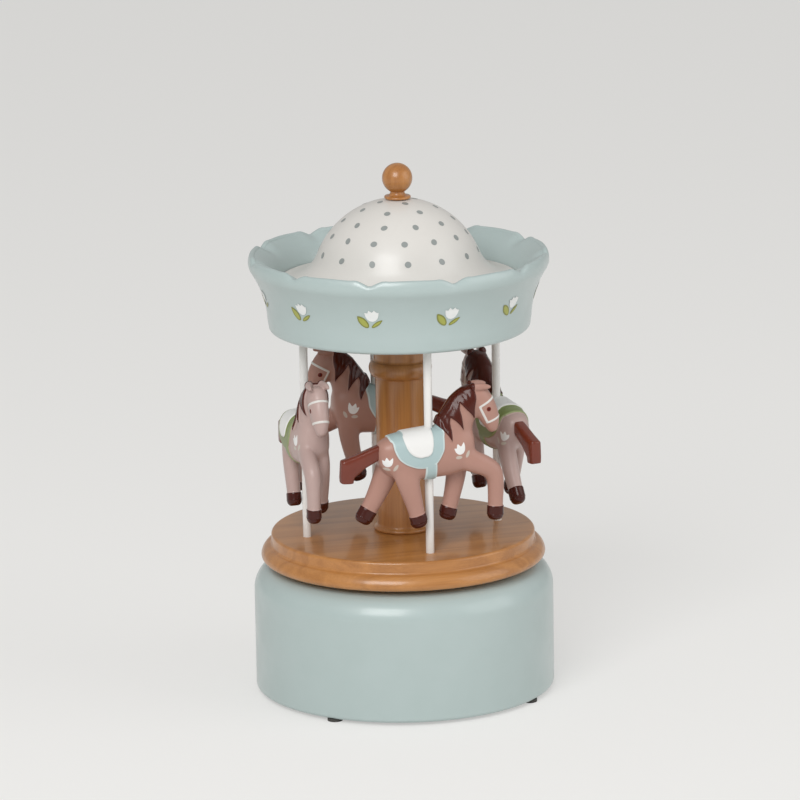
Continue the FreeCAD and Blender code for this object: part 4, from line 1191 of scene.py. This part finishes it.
    def along_leg(self, spots: np.ndarray, hand: int, section: Sequence[float]) -> tuple[np.ndarray, ...]:
        """Places points along a leg.

        Args:
            spots: Points of the skin.
            hand: 1 for a leg on the left, -1 on the right.
            section: Cross-section that they are counted from.

        Returns:
            Their offsets from its middle, how far they are past it, and its heading.
        """
        u, z, lean = section[:3]
        heading = np.array([math.cos(math.radians(lean)), 0, math.sin(math.radians(lean))])
        away = spots - np.array([u, hand * self.leg_side, z])
        return away, away @ heading, heading

    def flatten_soles(self, spots: np.ndarray) -> None:
        """Draws the overlong ends of the legs back to flat soles with a round edge.

        Args:
            spots: Points of the skin, which are moved.
        """
        for hand, sections in self.LEGS:
            fore, side = sections[-1][3:]
            away, past, heading = self.along_leg(spots, hand, sections[-1])
            level = np.array([-heading[2], 0, heading[0]])
            reach = np.hypot(away @ level / fore, away[:, 1] / side) / self.smoothed
            inset = np.clip(1 - (1 - reach) * fore / self.sole_round, 0, 1)
            lift = self.sole_round * (1 - np.sqrt(1 - inset ** 2))
            at_sole = (reach < self.sole_span) & (past < self.sole_reach)
            spots -= np.where(at_sole, np.maximum(past + lift, 0), 0)[:, None] * heading

    def hoof_distance(self, spots: np.ndarray) -> np.ndarray:
        """Distance past the top of the nearest hoof.

        Args:
            spots: Points of the skin.

        Returns:
            Distances, positive on a hoof.
        """
        best = np.full(len(spots), self.hoof_off)
        for hand, sections in self.LEGS:
            away, past, heading = self.along_leg(spots, hand, sections[-2])
            aside = np.linalg.norm(away - past[:, None] * heading, axis=1)
            on_hoof = (aside < self.hoof_width) & (past < self.hoof_reach)
            best = np.maximum(best, np.where(on_hoof, past, self.hoof_off))
        return best

    def distances(self, spots: np.ndarray) -> dict[Coat, np.ndarray]:
        """Distance of each point of the skin inside each layer of paint.

        Args:
            spots: Points of the skin.

        Returns:
            Distances in millimetres, positive inside a layer.
        """
        view = spots[:, (0, 2)]
        blanket = np.maximum(polygon_distance(view, curved(self.BLANKET)), polygon_distance(view, self.GIRTH))
        petals = [polygon_distance(view, moved(TULIP_CUP, *cup)) for cup in self.CUPS]
        leaves = [polygon_distance(view, oval(*leaf)) for leaf in self.LEAVES]
        eye = np.hypot(view[:, 0] - self.EYE[0], view[:, 1] - self.EYE[1])
        return {
            Coat.BLANKET: blanket,
            # painted highlight: a band centred 0.3 mm inside the blanket's edge, on the shoulder of its
            # raised relief
            Coat.EDGE_HIGHLIGHT: self.edge_highlight_half - np.abs(blanket - self.edge_highlight_inset),
            Coat.SADDLE: polygon_distance(view, curved(self.SADDLE)),
            Coat.MANE: polygon_distance(view, curved(self.MANE)),
            Coat.HOOF: self.hoof_distance(spots),
            Coat.STRAP: self.strap_half - line_distance(view, self.BRIDLE),
            Coat.PETAL: np.maximum.reduce(petals),
            Coat.LEAF: np.maximum.reduce(leaves),
            Coat.EYE: self.eye_radius - eye,
            Coat.PUPIL: self.pupil_radius - eye,
        }

    def painted(self) -> bpy.types.Mesh:
        """Raises the trim out of the skin and stores the layers of paint.

        Returns:
            The horse's mesh in metres about the pole.
        """
        mesh = settled(self.skin(), "horse")
        count = len(mesh.vertices)
        spots, normals = np.empty(count * 3), np.empty(count * 3)
        mesh.vertices.foreach_get("co", spots)
        mesh.vertex_normals.foreach_get("vector", normals)
        spots, normals = spots.reshape(-1, 3), normals.reshape(-1, 3)
        self.flatten_soles(spots)
        layers = self.distances(spots)
        lift = np.zeros(count)
        for coat, height in self.HEIGHTS.items():
            share = np.clip((layers[coat] + self.trim_lead) / self.trim_slope, 0, 1)
            lift += height * share * share * (3 - 2 * share)
        view = spots[:, (0, 2)]
        hair = np.clip(layers[Coat.MANE] / self.hair_edge, 0, 1)
        lift += self.crest_height * hair * np.exp(-(line_distance(view, self.CREST) / self.crest_width) ** 2)
        for lock in self.LOCKS:
            lift -= self.lock_depth * hair * np.exp(-(line_distance(view, lock) / self.lock_width) ** 2)
        for coat, values in layers.items():
            mesh.attributes.new(coat.value, "FLOAT", "POINT").data.foreach_set("value", values)
        mesh.vertices.foreach_set("co", ((spots + normals * lift[:, None]) * MM).ravel())
        mesh.shade_smooth()
        mesh.update()
        return mesh

    def tail(self) -> bpy.types.Mesh:
        """Moulds the tail.

        Returns:
            The tail's mesh in metres about the pole.
        """
        bm = bmesh.new()
        limb(bm, [Section(*section) for section in self.TAIL], segments=24, power=4.5)
        shape = moulded(bm, self.tail_voxel, self.skin_rounds, levels=0)
        bmesh.ops.scale(shape, vec=(MM, MM, MM), verts=shape.verts)
        mesh = settled(shape, "tail")
        mesh.shade_smooth()
        return mesh

    def build(self) -> None:
        """Sets a painted horse with its tail on each pole."""
        body, tail = self.painted(), self.tail()
        rose, taupe, chestnut = ROSE_HORSE.material(), TAUPE_HORSE.material(), CHESTNUT.material()
        for side in Side:
            heading = side.value + (self.askew if side is Side.RIGHT else 0.0)
            place = Matrix.Translation(polar(side.value, self.circle, self.board)) @ Matrix.Rotation(
                math.radians(heading), 4, "Z")
            paint, slot = (rose, "rose_paint") if side in (Side.FRONT, Side.BACK) else (taupe, "taupe_paint")
            for form, node, finish, name in ((body, f"horse_{side.word}", paint, slot),
                                             (tail, f"tail_{side.word}", chestnut, "chestnut_paint")):
                mesh = form.copy()
                mesh.transform(place)
                publish(mesh, f"painted_{node}", finish, [node])


class Movement:
    """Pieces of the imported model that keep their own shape: fittings under and inside the base."""

    NODES = {
        BRASS: ("key_bush", "spindle_bush", "drive_flange", "spring_barrel", "barrel_lid", "pin_cylinder",
                "cylinder_wheel", "governor_wheel", "governor_bracket", "winding_key"),
        STEEL: ("cover_screws", "thrust_washer", "bedplate_screws", "comb", "comb_screws", "drive_spindle",
                "flange_screws", "mainspring", "winding_arbor", "cylinder_pinion", "governor_worm"),
        FELT: ("felt_pads",), HARDBOARD: ("bottom_cover",), CAST: ("bedplate",), NYLON: ("governor_fan",),
    }

    def dress(self, nodes: dict[str, bpy.types.Object]) -> None:
        """Gives each kept node its material.

        Args:
            nodes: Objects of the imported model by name.
        """
        for finish, names in self.NODES.items():
            material = finish.material()
            for name in names:
                mesh = nodes[name].data
                mesh.materials.clear()
                mesh.materials.append(material)
                LOG.info("%s: dressed in %s", name, material.name)


@dataclass
class Studio:
    """Pale floor, soft lamps and the camera at the photograph's angle.

    The floor, the lamps and the camera's near end are in metres, lamp power is in watts.
    """

    azimuth: float = -15.41
    elevation: float = 13.4
    roll: float = 0.955
    distance: float = 1900.0
    target: tuple[float, float, float] = (-0.3143, 0.0866, 113.45)
    lens: float = 222.21
    sensor: float = 36.0
    near: float = 0.05
    floor_reach: float = 6.0
    floor_colour: str = "#EDECEA"
    floor_roughness: float = 0.8
    glow_colour: str = "#F4F3F1"
    glow_share: float = 0.5
    sky_colour: str = "#F2F2F0"
    sky_strength: float = 0.5
    backdrop_colour: str = "#D3D2D0"
    lamp_aim: tuple[float, float, float] = (0.0, 0.0, 0.1)

    LAMPS = (("key_lamp", (-0.75, -1.15, 1.15), 0.9, 18.0), ("fill_lamp", (1.2, -0.8, 0.7), 1.2, 6.0))

    def build(self) -> None:
        """Sets up the floor, the lamps, the sky and the camera."""
        self.lay_floor()
        self.hang_lamps()
        self.spread_sky()
        self.place_camera()

    def lay_floor(self) -> None:
        """Lays a broad pale floor that glows a little where the camera or a reflection sees it."""
        bm = bmesh.new()
        bmesh.ops.create_grid(bm, x_segments=1, y_segments=1, size=self.floor_reach)
        mesh = settled(bm, "floor")
        nodes = FinishNodes("pale_floor")
        mesh.materials.append(nodes.done({"Base Color": linear(self.floor_colour),
                                          "Roughness": self.floor_roughness}))
        path = add_node(nodes.tree, "ShaderNodeLightPath").outputs
        seen = nodes.sum("MAXIMUM", path["Is Camera Ray"], path["Is Glossy Ray"])
        glow = add_node(nodes.tree, "ShaderNodeEmission", {
            "Color": linear(self.glow_colour), "Strength": 1.0})
        blend = add_node(nodes.tree, "ShaderNodeMixShader", {
            0: nodes.sum("MULTIPLY", seen, self.glow_share), 1: nodes.shader.outputs[0], 2: glow.outputs[0]})
        feed(nodes.tree, nodes.tree.nodes["Material Output"], {"Surface": blend.outputs[0]})
        floor = bpy.data.objects.new("floor", mesh)
        bpy.context.scene.collection.objects.link(floor)

    def hang_lamps(self) -> None:
        """Hangs a broad key lamp at the left front and a fill at the right."""
        for name, place, size, power in self.LAMPS:
            lamp = bpy.data.lights.new(name, "AREA")
            lamp.size = size
            lamp.energy = power
            holder = bpy.data.objects.new(name, lamp)
            holder.location = place
            holder.rotation_euler = (Vector(place) - Vector(self.lamp_aim)).to_track_quat("Z", "Y").to_euler()
            bpy.context.scene.collection.objects.link(holder)

    def spread_sky(self) -> None:
        """Spreads an even sky, with a pale backdrop where the camera sees it."""
        world = bpy.data.worlds.new("soft_sky")
        world.use_nodes = True
        tree = world.node_tree
        sky = tree.nodes["Background"]
        feed(tree, sky, {"Color": linear(self.sky_colour), "Strength": self.sky_strength})
        backdrop = add_node(tree, "ShaderNodeBackground", {
            "Color": linear(self.backdrop_colour), "Strength": 1.0})
        path = add_node(tree, "ShaderNodeLightPath").outputs
        blend = add_node(tree, "ShaderNodeMixShader", {
            0: path["Is Camera Ray"], 1: sky.outputs[0], 2: backdrop.outputs[0]})
        feed(tree, tree.nodes["World Output"], {"Surface": blend.outputs[0]})
        bpy.context.scene.world = world

    def place_camera(self) -> None:
        """Sets the camera where the photograph was taken from."""
        camera = bpy.data.objects.new("camera", bpy.data.cameras.new("camera"))
        camera.data.lens = self.lens
        camera.data.sensor_width = self.sensor
        camera.data.clip_start = self.near
        turn, lift = math.radians(self.azimuth), math.radians(self.elevation)
        sight = Vector((math.sin(turn) * math.cos(lift), -math.cos(turn) * math.cos(lift), math.sin(lift)))
        aim = Vector(self.target) * MM
        camera.location = aim + sight * self.distance * MM
        level = sight.to_track_quat("Z", "Y").to_matrix()
        camera.rotation_euler = (level @ Matrix.Rotation(-math.radians(self.roll), 3, "Z")).to_euler()
        scene = bpy.context.scene
        scene.collection.objects.link(camera)
        scene.camera = camera
        scene.view_settings.view_transform = "Standard"


def main() -> None:
    """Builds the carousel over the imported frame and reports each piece."""
    logging.basicConfig(level=logging.INFO, format="%(message)s")
    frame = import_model()
    Base().build()
    Turntable().build()
    Pillar().build()
    Poles().build()
    Roof().build()
    Horse().build()
    Movement().dress(frame["nodes"])
    Studio().build()


if __name__ == "__main__":
    main()
